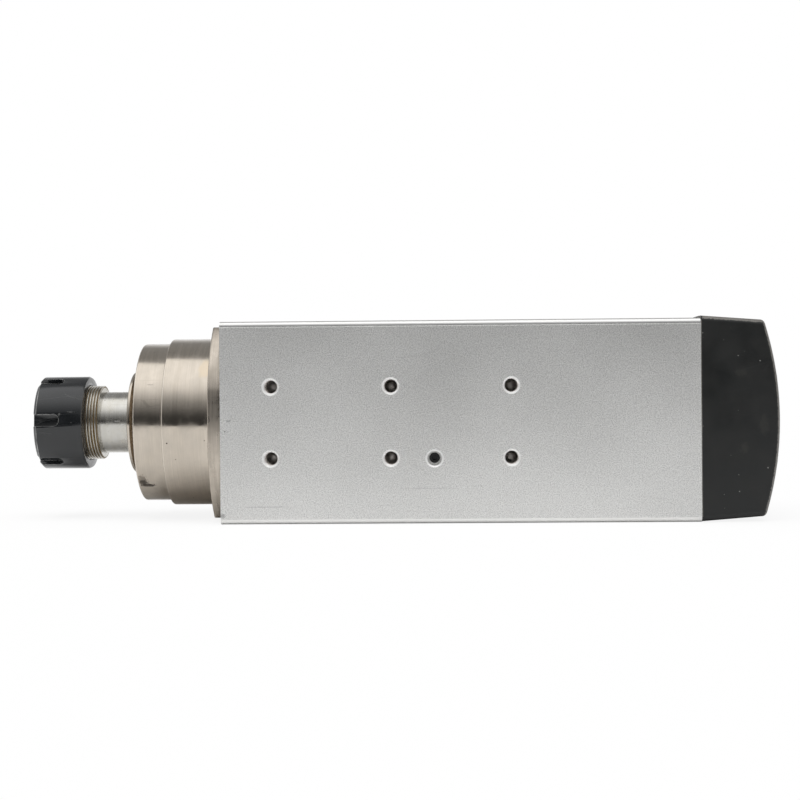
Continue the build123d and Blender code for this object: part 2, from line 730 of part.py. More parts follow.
# ---- Bearings: each has an outer ring, an inner ring and its balls and cage ----
for name, start, sizes in (
    ("front_bearing_1", collar_rear, front_bearing),
    ("front_bearing_2", second_bearing, front_bearing),
    ("rear_bearing", rear_bearing_front, rear_bearing),
):
    bore, inner_land, outer_land, outside, width = sizes
    with BuildPart() as inner_ring:
        revolve(tube_section(bore + PRESS_FIT, inner_land, start, start + width), axis=Axis.X)
    pieces[name + "_inner_ring"] = inner_ring
    with BuildPart() as outer_ring:
        revolve(tube_section(outer_land, outside, start, start + width), axis=Axis.X)
    pieces[name + "_outer_ring"] = outer_ring
    with BuildPart() as ball_cage:
        revolve(
            tube_section(
                inner_land + BALL_CLEARANCE,
                outer_land - BALL_CLEARANCE,
                start + CAGE_INSET,
                start + width - CAGE_INSET,
            ),
            axis=Axis.X,
        )
    pieces[name + "_ball_cage"] = ball_cage

spacer_start = collar_rear + FRONT_BEARING_WIDTH
with BuildPart() as inner_spacer:
    revolve(
        tube_section(
            FRONT_BEARING_BORE + PRESS_FIT, FRONT_BEARING_INNER_LAND, spacer_start, second_bearing
        ),
        axis=Axis.X,
    )
pieces["inner_spacer"] = inner_spacer

with BuildPart() as outer_spacer:
    revolve(
        tube_section(FRONT_BEARING_OUTER_LAND, FRONT_BEARING_OUTSIDE, spacer_start, second_bearing),
        axis=Axis.X,
    )
pieces["outer_spacer"] = outer_spacer

with BuildPart() as front_locknut:
    add(round_nut(FRONT_BEARING_BORE, FRONT_LOCKNUT_RADIUS, FRONT_LOCKNUT_LENGTH, front_stack_rear))
pieces["front_locknut"] = front_locknut

with BuildPart() as rear_locknut:
    add(round_nut(REAR_BEARING_BORE, REAR_LOCKNUT_RADIUS, REAR_LOCKNUT_LENGTH, rear_bearing_rear))
pieces["rear_locknut"] = rear_locknut

# ---- Rotor ----
rotor_radius = STATOR_INNER_RADIUS - AIR_GAP
with BuildPart() as rotor_core:
    revolve(
        tube_section(ROTOR_SEAT_RADIUS + PRESS_FIT, rotor_radius, stator_front, stator_rear),
        axis=Axis.X,
    )
pieces["rotor_core"] = rotor_core

with BuildPart() as rotor_end_rings:
    revolve(tube_section(END_RING_INNER_RADIUS, rotor_radius, rotor_front, stator_front), axis=Axis.X)
    revolve(tube_section(END_RING_INNER_RADIUS, rotor_radius, stator_rear, rotor_end), axis=Axis.X)
pieces["rotor_end_rings"] = rotor_end_rings

# ---- Rear bearing bracket, under the rear cover ----
bracket_hub_front = rear_bearing_front - BRACKET_HUB_LEAD
register_front = housing_rear - BRACKET_REGISTER_LENGTH
bracket_flange_height = HOUSING_HEIGHT - 2 * BRACKET_FLANGE_INSET
with BuildPart() as rear_bearing_bracket:
    with BuildSketch(Plane.YZ.offset(housing_rear)):
        Circle(BRACKET_FLANGE_RADIUS)
        Rectangle(2 * BRACKET_FLANGE_RADIUS, bracket_flange_height, mode=Mode.INTERSECT)
        with Locations(*cover_spots):
            Circle(COVER_BOSS_RADIUS + SEAL_GAP, mode=Mode.SUBTRACT)
    extrude(amount=BRACKET_FLANGE_THICKNESS)
    revolve(
        half_section(
            (bracket_hub_front, 0),
            (bracket_hub_front, BRACKET_HUB_RADIUS),
            (register_front, BRACKET_HUB_RADIUS),
            (register_front, BORE_RADIUS - PRESS_FIT),
            (housing_rear, BORE_RADIUS - PRESS_FIT),
            (housing_rear, 0),
        ),
        axis=Axis.X,
    )
    revolve(
        half_section(
            (bracket_hub_front - 1, 0),
            (bracket_hub_front - 1, REAR_BEARING_OUTSIDE + PRESS_FIT),
            (bracket_seat_rear, REAR_BEARING_OUTSIDE + PRESS_FIT),
            (bracket_seat_rear, BRACKET_OPENING_RADIUS),
            (bracket_rear + 1, BRACKET_OPENING_RADIUS),
            (bracket_rear + 1, 0),
        ),
        axis=Axis.X,
        mode=Mode.SUBTRACT,
    )
    with Locations(*facing_front(bracket_rear, bracket_spots)):
        add(tapped_cutter(BRACKET_SCREW_SHANK, BRACKET_FLANGE_THICKNESS), mode=Mode.SUBTRACT)
pieces["rear_bearing_bracket"] = rear_bearing_bracket

with BuildPart() as bracket_screws:
    with Locations(*facing_front(bracket_rear, bracket_spots)):
        add(cylinder_head_screw(*bracket_screw))
pieces["bracket_screws"] = bracket_screws

with BuildPart() as wave_spring:
    revolve(
        tube_section(
            BRACKET_OPENING_RADIUS, REAR_BEARING_OUTSIDE, rear_bearing_rear, bracket_seat_rear
        ),
        axis=Axis.X,
    )
pieces["wave_spring"] = wave_spring

# ---- Fan on the rear of the shaft ----
with BuildPart() as cooling_fan:
    revolve(
        tube_section(FAN_SEAT_RADIUS + PRESS_FIT, FAN_HUB_RADIUS, fan_front, fan_rear), axis=Axis.X
    )
    revolve(
        tube_section(FAN_HUB_RADIUS - 1, FAN_RADIUS, fan_front, fan_front + FAN_PLATE), axis=Axis.X
    )
    with BuildSketch(Plane.YZ.offset(fan_front)):
        with PolarLocations((FAN_HUB_RADIUS - 1 + FAN_RADIUS) / 2, FAN_BLADES):
            Rectangle(FAN_RADIUS - FAN_HUB_RADIUS, FAN_BLADE_THICKNESS)
    extrude(amount=FAN_LENGTH)
pieces["cooling_fan"] = cooling_fan

with BuildPart() as fan_screw:
    with Locations(*facing_front(fan_rear, [(0, 0)])):
        add(cylinder_head_screw(*fan_screw_sizes))
pieces["fan_screw"] = fan_screw

# ---- Rear cover: a drafted shell with a domed rear wall and an air grille ----
def is_long_edge(edge):
    """Whether an edge of the drafted block runs along the spindle, at one of its four corners."""
    return abs(edge.center().Y) > face_y / 2 and abs(edge.center().Z) > HOUSING_HEIGHT / 4


def cover_form(inset, edge_radius=0):
    """The cover's drafted, domed form, drawn in by a wall thickness, with its long edges rounded."""
    with BuildPart() as form:
        with BuildSketch(Plane.YZ.offset(housing_rear)):
            with Locations((0, (COVER_TOP_RISE + COVER_STEP) / 2)):
                Rectangle(
                    HOUSING_WIDTH - 2 * (COVER_STEP + inset),
                    HOUSING_HEIGHT + COVER_TOP_RISE - COVER_STEP - 2 * inset,
                )
        extrude(amount=COVER_LENGTH + 5, taper=COVER_DRAFT_DEG)
        if edge_radius:
            fillet(edges().filter_by(is_long_edge), radius=edge_radius)
        with BuildSketch(Plane.XZ.offset(-HOUSING_WIDTH)):
            with Locations((dome_top - COVER_DOME_RADIUS, 0)):
                Circle(COVER_DOME_RADIUS - inset)
        extrude(amount=2 * HOUSING_WIDTH, mode=Mode.INTERSECT)
    return form.part


housing_top = HOUSING_HEIGHT / 2
lip_bottom = housing_top + RUNNING_FIT
lip_half_width = face_y - COVER_STEP - 2 * COVER_EDGE_RADIUS
with BuildPart() as rear_cover:
    add(cover_form(0, COVER_EDGE_RADIUS))
    fillet(faces().sort_by(Axis.X)[-1].edges(), radius=COVER_REAR_ROUND)
    add(cover_form(COVER_WALL), mode=Mode.SUBTRACT)
    with BuildSketch(Plane.XZ.offset(lip_half_width)):
        with BuildLine():
            Polyline(
                (housing_rear, lip_bottom),
                (housing_rear, housing_top + COVER_TOP_RISE),
                (housing_rear - COVER_LIP_LENGTH, lip_bottom + COVER_LIP_EDGE),
                (housing_rear - COVER_LIP_LENGTH, lip_bottom),
                close=True,
            )
        make_face()
    extrude(amount=-2 * lip_half_width)
    with BuildPart(mode=Mode.PRIVATE) as screw_bosses:
        with BuildSketch(Plane.YZ.offset(housing_rear)):
            with Locations(*cover_spots):
                Circle(COVER_BOSS_RADIUS)
        extrude(amount=COVER_LENGTH)
        add(cover_form(COVER_WALL / 2), mode=Mode.INTERSECT)
    add(screw_bosses.part)
    with Locations(*facing_front(cover_screw_seat, cover_spots)):
        add(plain_cutter(COVER_SCREW_SHANK + PRESS_FIT, COVER_SCREW_LENGTH), mode=Mode.SUBTRACT)
    with Locations(*facing_rear(cover_screw_seat, cover_spots)):
        add(plain_cutter(COVER_SCREW_HEAD + SEAL_GAP, COVER_LENGTH), mode=Mode.SUBTRACT)
    with BuildSketch(Plane.YZ.offset(fan_rear + FAN_SPACE)) as grille_slots:
        rows = int((GRILLE_RADIUS - GRILLE_SLOT) / GRILLE_PITCH)
        for row in range(-rows, rows + 1):
            z = row * GRILLE_PITCH
            reach = sqrt(GRILLE_RADIUS**2 - z**2)
            for side in (-1, 1):
                with Locations((side * (GRILLE_RIB + reach) / 2, z)):
                    SlotOverall(reach - GRILLE_RIB, GRILLE_SLOT)
    extrude(amount=COVER_LENGTH, mode=Mode.SUBTRACT)
pieces["rear_cover"] = rear_cover

with BuildPart() as cover_screws:
    with Locations(*facing_front(cover_screw_seat, cover_spots)):
        add(cylinder_head_screw(*cover_screw))
pieces["cover_screws"] = cover_screws

# ---- Collet, with slits cut in turn from both ends ----
with BuildPart() as collet:
    revolve(
        half_section(
            (0, COLLET_BORE_RADIUS),
            (0, COLLET_FACE_RADIUS),
            (COLLET_CONE_LENGTH, COLLET_RIM_RADIUS),
            (COLLET_GROOVE_START, COLLET_RIM_RADIUS),
            (COLLET_GROOVE_START, COLLET_GROOVE_RADIUS),
            (collet_body_start, COLLET_GROOVE_RADIUS),
            (collet_body_start, COLLET_RADIUS),
            (COLLET_LENGTH, collet_radius(COLLET_LENGTH)),
            (COLLET_LENGTH, COLLET_BORE_RADIUS),
        ),
        axis=Axis.X,
    )
    for start, phase in ((0, 0), (COLLET_SLIT_STOP, 180 / COLLET_SLIT_COUNT)):
        with BuildSketch(Plane.YZ.offset(start)):
            with PolarLocations(COLLET_RADIUS / 2 + 1, COLLET_SLIT_COUNT, start_angle=phase):
                Rectangle(COLLET_RADIUS, COLLET_SLIT_WIDTH)
        extrude(amount=COLLET_LENGTH - COLLET_SLIT_STOP, mode=Mode.SUBTRACT)
pieces["collet"] = collet

# ---- Collet nut ----
nut_bore = THREAD_RADIUS + RUNNING_FIT
extractor_start = COLLET_GROOVE_START + (COLLET_GROOVE_WIDTH - EXTRACTOR_WIDTH) / 2
extractor_end = extractor_start + EXTRACTOR_WIDTH
rim_bore = COLLET_RIM_RADIUS + 2 * RUNNING_FIT
with BuildPart() as collet_nut:
    revolve(
        half_section(
            (0, COLLET_FACE_RADIUS + RUNNING_FIT),
            (0, NUT_RADIUS - NUT_FRONT_CHAMFER),
            (NUT_FRONT_CHAMFER, NUT_RADIUS),
            (NUT_LENGTH - NUT_REAR_CHAMFER, NUT_RADIUS),
            (NUT_LENGTH, NUT_RADIUS - NUT_REAR_DROP),
            (NUT_LENGTH, nut_bore + 1),
            (NUT_LENGTH - 1, nut_bore),
            (SHAFT_FRONT - 0.5, nut_bore),
            (extractor_end, COLLET_RADIUS + 1),
            (extractor_end, EXTRACTOR_RADIUS),
            (extractor_start, EXTRACTOR_RADIUS),
            (extractor_start, rim_bore),
            (COLLET_CONE_LENGTH, rim_bore),
        ),
        axis=Axis.X,
    )
    for i in range(NUT_SLOT_COUNT):
        turn = NUT_SLOT_PHASE + i * 360 / NUT_SLOT_COUNT
        slot_plane = Plane(
            origin=(0, 0, 0),
            x_dir=(1, 0, 0),
            z_dir=(0, -cos(radians(turn)), sin(radians(turn))),
        )
        with BuildSketch(slot_plane.offset(NUT_RADIUS - NUT_SLOT_DEPTH)):
            with Locations((NUT_SLOT_LENGTH / 2 - NUT_SLOT_WIDTH / 2, 0)):
                SlotOverall(NUT_SLOT_LENGTH + NUT_SLOT_WIDTH, NUT_SLOT_WIDTH)
        extrude(amount=NUT_SLOT_DEPTH + 1, mode=Mode.SUBTRACT)
pieces["collet_nut"] = collet_nut

# ---- Terminal box on the +Y face ----
with BuildPart() as terminal_box_base:
    with BuildSketch(Plane.XZ.offset(-face_y)):
        with Locations((box_centre_x, 0)):
            RectangleRounded(BOX_LENGTH, BOX_WIDTH, BOX_CORNER)
    extrude(amount=-BOX_DEPTH)
    with BuildSketch(Plane.XZ.offset(-face_y - BOX_FLOOR)):
        with Locations((box_centre_x, 0)):
            RectangleRounded(BOX_LENGTH - 2 * BOX_WALL, BOX_WIDTH - 2 * BOX_WALL, BOX_CORNER - BOX_WALL)
        with Locations(*lid_spots):
            Circle(BOX_POST_RADIUS, mode=Mode.SUBTRACT)
    extrude(amount=-BOX_DEPTH, mode=Mode.SUBTRACT)
    with Locations(*facing_minus_y(box_top, lid_spots)):
        add(tapped_cutter(LID_SCREW_SHANK, LID_SCREW_LENGTH - LID_THICKNESS), mode=Mode.SUBTRACT)
    with Locations(*facing_minus_y(face_y + BOX_FLOOR, box_screw_spots)):
        add(plain_cutter(BOX_SCREW_SHANK + PRESS_FIT, BOX_FLOOR + 1), mode=Mode.SUBTRACT)
    with Locations(*facing_minus_y(face_y + BOX_FLOOR, [(box_centre_x, 0)])):
        add(plain_cutter(WIRE_HOLE_RADIUS, BOX_FLOOR + 1), mode=Mode.SUBTRACT)
    with Locations(Location((box_rear, gland_y, 0), (0, 0, 180))):
        add(plain_cutter(GLAND_THREAD_RADIUS + PRESS_FIT, BOX_WALL + 1), mode=Mode.SUBTRACT)
pieces["terminal_box_base"] = terminal_box_base

with BuildPart() as terminal_box_screws:
    with Locations(*facing_minus_y(face_y + BOX_FLOOR, box_screw_spots)):
        add(cylinder_head_screw(*box_screw))
pieces["terminal_box_screws"] = terminal_box_screws

with BuildPart() as terminal_box_gasket:
    with BuildSketch(Plane.XZ.offset(-box_top)):
        with Locations((box_centre_x, 0)):
            RectangleRounded(BOX_LENGTH, BOX_WIDTH, BOX_CORNER)
            RectangleRounded(
                BOX_LENGTH - 2 * BOX_WALL,
                BOX_WIDTH - 2 * BOX_WALL,
                BOX_CORNER - BOX_WALL,
                mode=Mode.SUBTRACT,
            )
        with Locations(*lid_spots):
            Circle(BOX_POST_RADIUS)
        with Locations(*lid_spots):
            Circle(LID_SCREW_SHANK + SEAL_GAP, mode=Mode.SUBTRACT)
    extrude(amount=-GASKET_THICKNESS)
pieces["terminal_box_gasket"] = terminal_box_gasket

lid_bottom = box_top + GASKET_THICKNESS
lid_top = lid_bottom + LID_THICKNESS
with BuildPart() as terminal_box_lid:
    with BuildSketch(Plane.XZ.offset(-lid_bottom)):
        with Locations((box_centre_x, 0)):
            RectangleRounded(BOX_LENGTH, BOX_WIDTH, BOX_CORNER)
    extrude(amount=-LID_THICKNESS)
    fillet(faces().sort_by(Axis.Y)[-1].edges(), radius=LID_EDGE_RADIUS)
    with Locations(*facing_minus_y(lid_top, lid_spots)):
        add(plain_cutter(LID_SCREW_HEAD + SEAL_GAP, LID_SCREW_HEAD_HEIGHT), mode=Mode.SUBTRACT)
        add(plain_cutter(LID_SCREW_SHANK + PRESS_FIT, LID_THICKNESS + 1), mode=Mode.SUBTRACT)
pieces["terminal_box_lid"] = terminal_box_lid

with BuildPart() as lid_screws:
    with Locations(*facing_minus_y(lid_top - LID_SCREW_HEAD_HEIGHT, lid_spots)):
        add(cylinder_head_screw(*lid_screw))
pieces["lid_screws"] = lid_screws

block_z = BOX_WIDTH / 2 - BOX_WALL - TERMINAL_BLOCK_WIDTH / 2 - 1
block_length = TERMINAL_COUNT * TERMINAL_PITCH
first_terminal = box_centre_x - (TERMINAL_COUNT - 1) / 2 * TERMINAL_PITCH
terminal_spots = [(first_terminal + i * TERMINAL_PITCH, block_z) for i in range(TERMINAL_COUNT)]
block_top = face_y + BOX_FLOOR + TERMINAL_BLOCK_HEIGHT
with BuildPart() as terminal_block:
    with BuildSketch(Plane.XZ.offset(-face_y - BOX_FLOOR)):
        with Locations((box_centre_x, block_z)):
            Rectangle(block_length, TERMINAL_BLOCK_WIDTH)
    extrude(amount=-TERMINAL_BLOCK_HEIGHT)
    with Locations(*facing_minus_y(block_top, terminal_spots)):
        add(plain_cutter(TERMINAL_RADIUS, TERMINAL_DEPTH), mode=Mode.SUBTRACT)
pieces["terminal_block"] = terminal_block

with BuildPart() as terminal_clamps:
    with BuildSketch(Plane.XZ.offset(TERMINAL_RECESS - block_top)):
        with Locations(*terminal_spots):
            Circle(TERMINAL_RADIUS - PRESS_FIT)
    extrude(amount=TERMINAL_DEPTH - TERMINAL_RECESS)
pieces["terminal_clamps"] = terminal_clamps


# ---- Cable gland in the box's rear wall ----
def gland_section(*points):
    """A half section about the gland's own axis, which runs along +X from the box's rear wall."""
    with BuildSketch(Plane(origin=(box_rear, gland_y, 0), x_dir=(1, 0, 0), z_dir=(0, -1, 0))) as section:
        with BuildLine():
            Polyline(*points, close=True)
        make_face()
    return section.sketch


gland_axis = Axis((box_rear, gland_y, 0), (1, 0, 0))
gland_plane = Plane(origin=(box_rear, gland_y, 0), x_dir=(0, 1, 0), z_dir=(1, 0, 0))
seal_start = GLAND_HEX_LENGTH + GLAND_WALL
seal_end = seal_start + GLAND_SEAL_LENGTH
inside_reach = BOX_WALL + GLAND_LOCKNUT_LENGTH + GLAND_WALL
thread_length = GLAND_HEX_LENGTH + GLAND_THREAD_REACH
nut_start = GLAND_HEX_LENGTH + GLAND_NUT_SPACE
nut_end = nut_start + GLAND_NUT_LENGTH
with BuildPart() as cable_gland_body:
    with BuildSketch(gland_plane):
        RegularPolygon(GLAND_HEX / 2, 6, major_radius=False, rotation=30)
    extrude(amount=GLAND_HEX_LENGTH)
    revolve(
        gland_section(
            (-inside_reach, 0),
            (-inside_reach, GLAND_THREAD_RADIUS),
            (thread_length, GLAND_THREAD_RADIUS),
            (thread_length, 0),
        ),
        axis=gland_axis,
    )
    revolve(
        gland_section(
            (-inside_reach - 1, 0),
            (-inside_reach - 1, CORD_RADIUS + GLAND_WALL),
            (seal_start, CORD_RADIUS + GLAND_WALL),
            (seal_start, GLAND_SEAL_RADIUS + PRESS_FIT),
            (thread_length + 1, GLAND_SEAL_RADIUS + PRESS_FIT),
            (thread_length + 1, 0),
        ),
        axis=gland_axis,
        mode=Mode.SUBTRACT,
    )
pieces["cable_gland_body"] = cable_gland_body

with BuildPart() as cable_gland_seal:
    revolve(
        gland_section(
            (seal_start, CORD_RADIUS),
            (seal_start, GLAND_SEAL_RADIUS),
            (seal_end, GLAND_SEAL_RADIUS),
            (seal_end, CORD_RADIUS),
        ),
        axis=gland_axis,
    )
pieces["cable_gland_seal"] = cable_gland_seal

with BuildPart() as cable_gland_nut:
    with BuildSketch(gland_plane.offset(nut_start)):
        RegularPolygon(GLAND_NUT_RADIUS, 6, major_radius=False, rotation=30)
    extrude(amount=GLAND_NUT_LENGTH * 0.6)
    revolve(
        gland_section(
            (nut_start, 0),
            (nut_start, GLAND_NUT_RADIUS),
            (nut_end - GLAND_NUT_TAPER, GLAND_NUT_RADIUS),
            (nut_end, GLAND_SEAL_RADIUS + GLAND_WALL),
            (nut_end, 0),
        ),
        axis=gland_axis,
    )
    revolve(
        gland_section(
            (nut_start - 1, 0),
            (nut_start - 1, GLAND_THREAD_RADIUS + PRESS_FIT),
            (thread_length + PRESS_FIT, GLAND_THREAD_RADIUS + PRESS_FIT),
            (thread_length + PRESS_FIT, GLAND_SEAL_RADIUS + PRESS_FIT),
            (seal_end, GLAND_SEAL_RADIUS + PRESS_FIT),
            (seal_end, CORD_RADIUS + GLAND_WALL),
            (nut_end + 1, CORD_RADIUS + GLAND_WALL),
            (nut_end + 1, 0),
        ),
        axis=gland_axis,
        mode=Mode.SUBTRACT,
    )
pieces["cable_gland_nut"] = cable_gland_nut

with BuildPart() as cable_gland_locknut:
    with BuildSketch(gland_plane.offset(-BOX_WALL)):
        RegularPolygon(GLAND_LOCKNUT_HEX / 2, 6, major_radius=False, rotation=30)
        Circle(GLAND_THREAD_RADIUS + PRESS_FIT, mode=Mode.SUBTRACT)
    extrude(amount=-GLAND_LOCKNUT_LENGTH)
pieces["cable_gland_locknut"] = cable_gland_locknut

# ---- One STEP file for each piece ----
os.makedirs("parts", exist_ok=True)
for name, piece in pieces.items():
    piece.part.label = name
    export_step(piece.part, f"parts/{name}.step")
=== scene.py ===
import json
from math import cos, pi, radians, sin

import bpy
from mathutils import Matrix, Vector

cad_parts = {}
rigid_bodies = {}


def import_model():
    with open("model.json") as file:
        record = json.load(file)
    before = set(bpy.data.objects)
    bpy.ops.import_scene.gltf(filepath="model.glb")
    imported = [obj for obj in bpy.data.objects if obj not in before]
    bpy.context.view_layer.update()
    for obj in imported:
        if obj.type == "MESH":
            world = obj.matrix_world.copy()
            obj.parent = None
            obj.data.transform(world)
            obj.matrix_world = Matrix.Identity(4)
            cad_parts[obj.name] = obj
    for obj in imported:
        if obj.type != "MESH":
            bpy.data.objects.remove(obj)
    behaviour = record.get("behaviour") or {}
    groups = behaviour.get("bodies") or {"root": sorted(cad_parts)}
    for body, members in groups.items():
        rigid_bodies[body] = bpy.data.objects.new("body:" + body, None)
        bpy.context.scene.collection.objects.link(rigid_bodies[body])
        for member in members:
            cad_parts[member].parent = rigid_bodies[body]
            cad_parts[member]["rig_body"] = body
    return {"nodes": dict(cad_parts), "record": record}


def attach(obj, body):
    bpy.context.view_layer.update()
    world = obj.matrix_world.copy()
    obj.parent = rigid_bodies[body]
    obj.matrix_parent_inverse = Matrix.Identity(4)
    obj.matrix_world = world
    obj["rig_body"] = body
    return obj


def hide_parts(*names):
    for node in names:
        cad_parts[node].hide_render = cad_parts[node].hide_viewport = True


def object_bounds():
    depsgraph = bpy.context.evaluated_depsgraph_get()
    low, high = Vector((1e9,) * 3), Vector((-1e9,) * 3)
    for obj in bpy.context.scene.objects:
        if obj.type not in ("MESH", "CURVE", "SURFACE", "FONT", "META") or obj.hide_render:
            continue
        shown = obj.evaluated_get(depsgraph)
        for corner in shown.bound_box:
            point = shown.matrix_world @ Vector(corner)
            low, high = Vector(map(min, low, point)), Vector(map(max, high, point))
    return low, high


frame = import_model()
nodes = frame["nodes"]
slotOfNode = {part["node"]: part["material_slot"] for part in frame["record"]["subparts"]}
cadLow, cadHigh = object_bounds()
mm = 0.001
perMetre = 1000.0  # millimetres in a metre
print("frame loaded:", len(nodes), "nodes")

# camera
shot = dict(place=(217.65, -837.2, 12.55), sensor=36, lens=69.25, yaw=1.562, pitch=-0.107, roll=-0.448)
yaw, pitch, roll = (radians(shot[key]) for key in ("yaw", "pitch", "roll"))
turnYaw = Matrix(((cos(yaw), sin(yaw), 0), (-sin(yaw), cos(yaw), 0), (0, 0, 1)))
turnPitch = Matrix(((1, 0, 0), (0, cos(pitch), sin(pitch)), (0, -sin(pitch), cos(pitch))))
turnRoll = Matrix(((cos(roll), 0, sin(roll)), (0, 1, 0), (-sin(roll), 0, cos(roll))))
rightward, forward, upward = turnRoll @ turnPitch @ turnYaw
bpy.ops.object.camera_add()
camera = bpy.context.object
camera.data.sensor_width = shot["sensor"]
camera.data.lens = shot["lens"]
cameraTurn = Matrix((rightward, upward, -forward)).transposed().to_4x4()
camera.matrix_world = Matrix.Translation(Vector(shot["place"]) * mm) @ cameraTurn
bpy.context.scene.camera = camera
print("camera placed")


# helpers for meshes
def deselectAll():
    if bpy.context.object and bpy.context.object.mode != "OBJECT":
        bpy.ops.object.mode_set(mode="OBJECT")
    bpy.ops.object.select_all(action="DESELECT")


def makeActive(piece):
    deselectAll()
    piece.select_set(True)
    bpy.context.view_layer.objects.active = piece


def applyPlace(piece):
    makeActive(piece)
    bpy.ops.object.transform_apply(location=True, rotation=True, scale=True)


def applyModifiers(piece):
    makeActive(piece)
    for modifier in list(piece.modifiers):
        bpy.ops.object.modifier_apply(modifier=modifier.name)


def smoothFaces(piece, angle=30):
    makeActive(piece)
    bpy.ops.object.shade_smooth_by_angle(angle=radians(angle))


def paint(piece, material):
    piece.data.materials.clear()
    piece.data.materials.append(material)


# how near two points are merged, in millimetres, and how flat two faces are joined, in degrees
merging = dict(distance=0.001, flatAngle=0.5)


# a merged copy of a CAD node, which can then take bevels and cuts
def dressedCopy(nodeName, pieceName):
    piece = nodes[nodeName].copy()
    piece.data = nodes[nodeName].data.copy()
    piece.name = pieceName
    piece.data.name = pieceName
    piece.parent = None
    for key in [key for key in piece.keys() if key.startswith("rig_")]:
        del piece[key]
    bpy.context.collection.objects.link(piece)
    makeActive(piece)
    bpy.ops.object.mode_set(mode="EDIT")
    bpy.ops.mesh.select_all(action="SELECT")
    bpy.ops.mesh.remove_doubles(threshold=merging["distance"] * mm)
    bpy.ops.mesh.customdata_custom_splitnormals_clear()
    bpy.ops.mesh.dissolve_limited(angle_limit=radians(merging["flatAngle"]))
    bpy.ops.object.mode_set(mode="OBJECT")
    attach(piece, nodes[nodeName]["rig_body"])
    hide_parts(nodeName)
    return piece


def softenEdges(piece, width, segments=2, angle=30, material=-1):
    bevel = piece.modifiers.new("softEdges", "BEVEL")
    bevel.width = width * mm
    bevel.material = material
    bevel.segments = segments
    bevel.limit_method = "ANGLE"
    bevel.angle_limit = radians(angle)
    bevel.use_clamp_overlap = False
    applyModifiers(piece)


# goes into edit mode with only those edges selected whose two ends the test picks, in millimetres
def selectEdges(piece, picks):
    makeActive(piece)
    bpy.ops.object.mode_set(mode="EDIT")
    bpy.ops.mesh.select_mode(type="EDGE")
    bpy.ops.mesh.select_all(action="DESELECT")
    bpy.ops.object.mode_set(mode="OBJECT")
    vertices = piece.data.vertices
    for edge in piece.data.edges:
        edge.select = all(picks(vertices[i].co / mm) for i in edge.vertices)
    bpy.ops.object.mode_set(mode="EDIT")


flankSlope = 0.57735  # of a thread whose flanks stand at 60 degrees to each other


# a closed helical ridge round an axis, for cutting a thread: side 1 cuts inwards, side -1 outwards
def threadCutter(spec, axis, side):
    deselectAll()
    bpy.ops.mesh.primitive_circle_add(vertices=4, radius=1.0, fill_type="NOTHING")
    cutter = bpy.context.object
    cutter.name = "threadCutter"
    rootHalf = spec["rootWidth"] / 2
    mouthHalf = rootHalf + (spec["depth"] + spec["proud"]) * flankSlope
    proud, deep = side * spec["proud"], -side * spec["depth"]
    corners = ((-mouthHalf, proud), (-rootHalf, deep), (rootHalf, deep), (mouthHalf, proud))
    for vertex, (along, rise) in zip(cutter.data.vertices, corners):
        along, rise = spec["start"] + along, spec["radius"] + rise
        vertex.co = Vector((along, 0, rise) if axis == "X" else (0, along, rise)) * mm
    winding = cutter.modifiers.new("turns", "SCREW")
    winding.axis = axis
    winding.angle = 2 * pi
    winding.screw_offset = spec["pitch"] * mm
    winding.iterations = spec["turns"]
    winding.steps = winding.render_steps = spec["steps"]
    winding.use_merge_vertices = False
    applyModifiers(cutter)
    bpy.ops.object.mode_set(mode="EDIT")
    bpy.ops.mesh.select_all(action="SELECT")
    bpy.ops.mesh.fill_holes(sides=4)
    bpy.ops.mesh.select_all(action="SELECT")
    bpy.ops.mesh.normals_make_consistent(inside=False)
    bpy.ops.object.mode_set(mode="OBJECT")
    return cutter


def cutFrom(piece, cutter):
    cut = piece.modifiers.new("cut", "BOOLEAN")
    cut.operation = "DIFFERENCE"
    cut.solver = "EXACT"
    cut.object = cutter
    applyModifiers(piece)
    bpy.data.objects.remove(cutter)


# helpers for materials
def placeNode(tree, kind, x, y, **settings):
    node = tree.nodes.new(kind)
    node.location = (x, y)
    for key, value in settings.items():
        setattr(node, key, value)
    return node


def feed(tree, socket, value):
    if isinstance(value, bpy.types.NodeSocket):
        tree.links.new(value, socket)
    elif isinstance(value, (tuple, list)) and len(value) == 3 and socket.type == "RGBA":
        socket.default_value = (*value, 1.0)
    else:
        socket.default_value = value


def mathStep(tree, operation, x, y, *values):
    node = placeNode(tree, "ShaderNodeMath", x, y, operation=operation)
    for i, value in enumerate(values):
        feed(tree, node.inputs[i], value)
    return node.outputs[0]


def mixColour(tree, x, y, factor, first, second):
    node = placeNode(tree, "ShaderNodeMix", x, y, data_type="RGBA")
    for i, value in ((0, factor), (6, first), (7, second)):
        feed(tree, node.inputs[i], value)
    return node.outputs[2]


def mapRange(tree, x, y, value, fromLow, fromHigh, toLow, toHigh):
    node = placeNode(tree, "ShaderNodeMapRange", x, y)
    for i, number in enumerate((value, fromLow, fromHigh, toLow, toHigh)):
        feed(tree, node.inputs[i], number)
    return node.outputs[0]


def mixShader(tree, x, y, factor, first, second):
    node = placeNode(tree, "ShaderNodeMixShader", x, y)
    for i, socket in enumerate((factor, first, second)):
        tree.links.new(socket, node.inputs[i])
    return node.outputs[0]


# whether a ray is any of the named kinds
def anyRay(tree, x, y, lightPath, first, *others):
    found = lightPath.outputs[first]
    for i, kind in enumerate(others):
        found = mathStep(tree, "MAXIMUM", x + 200 * i, y, found, lightPath.outputs[kind])
    return found


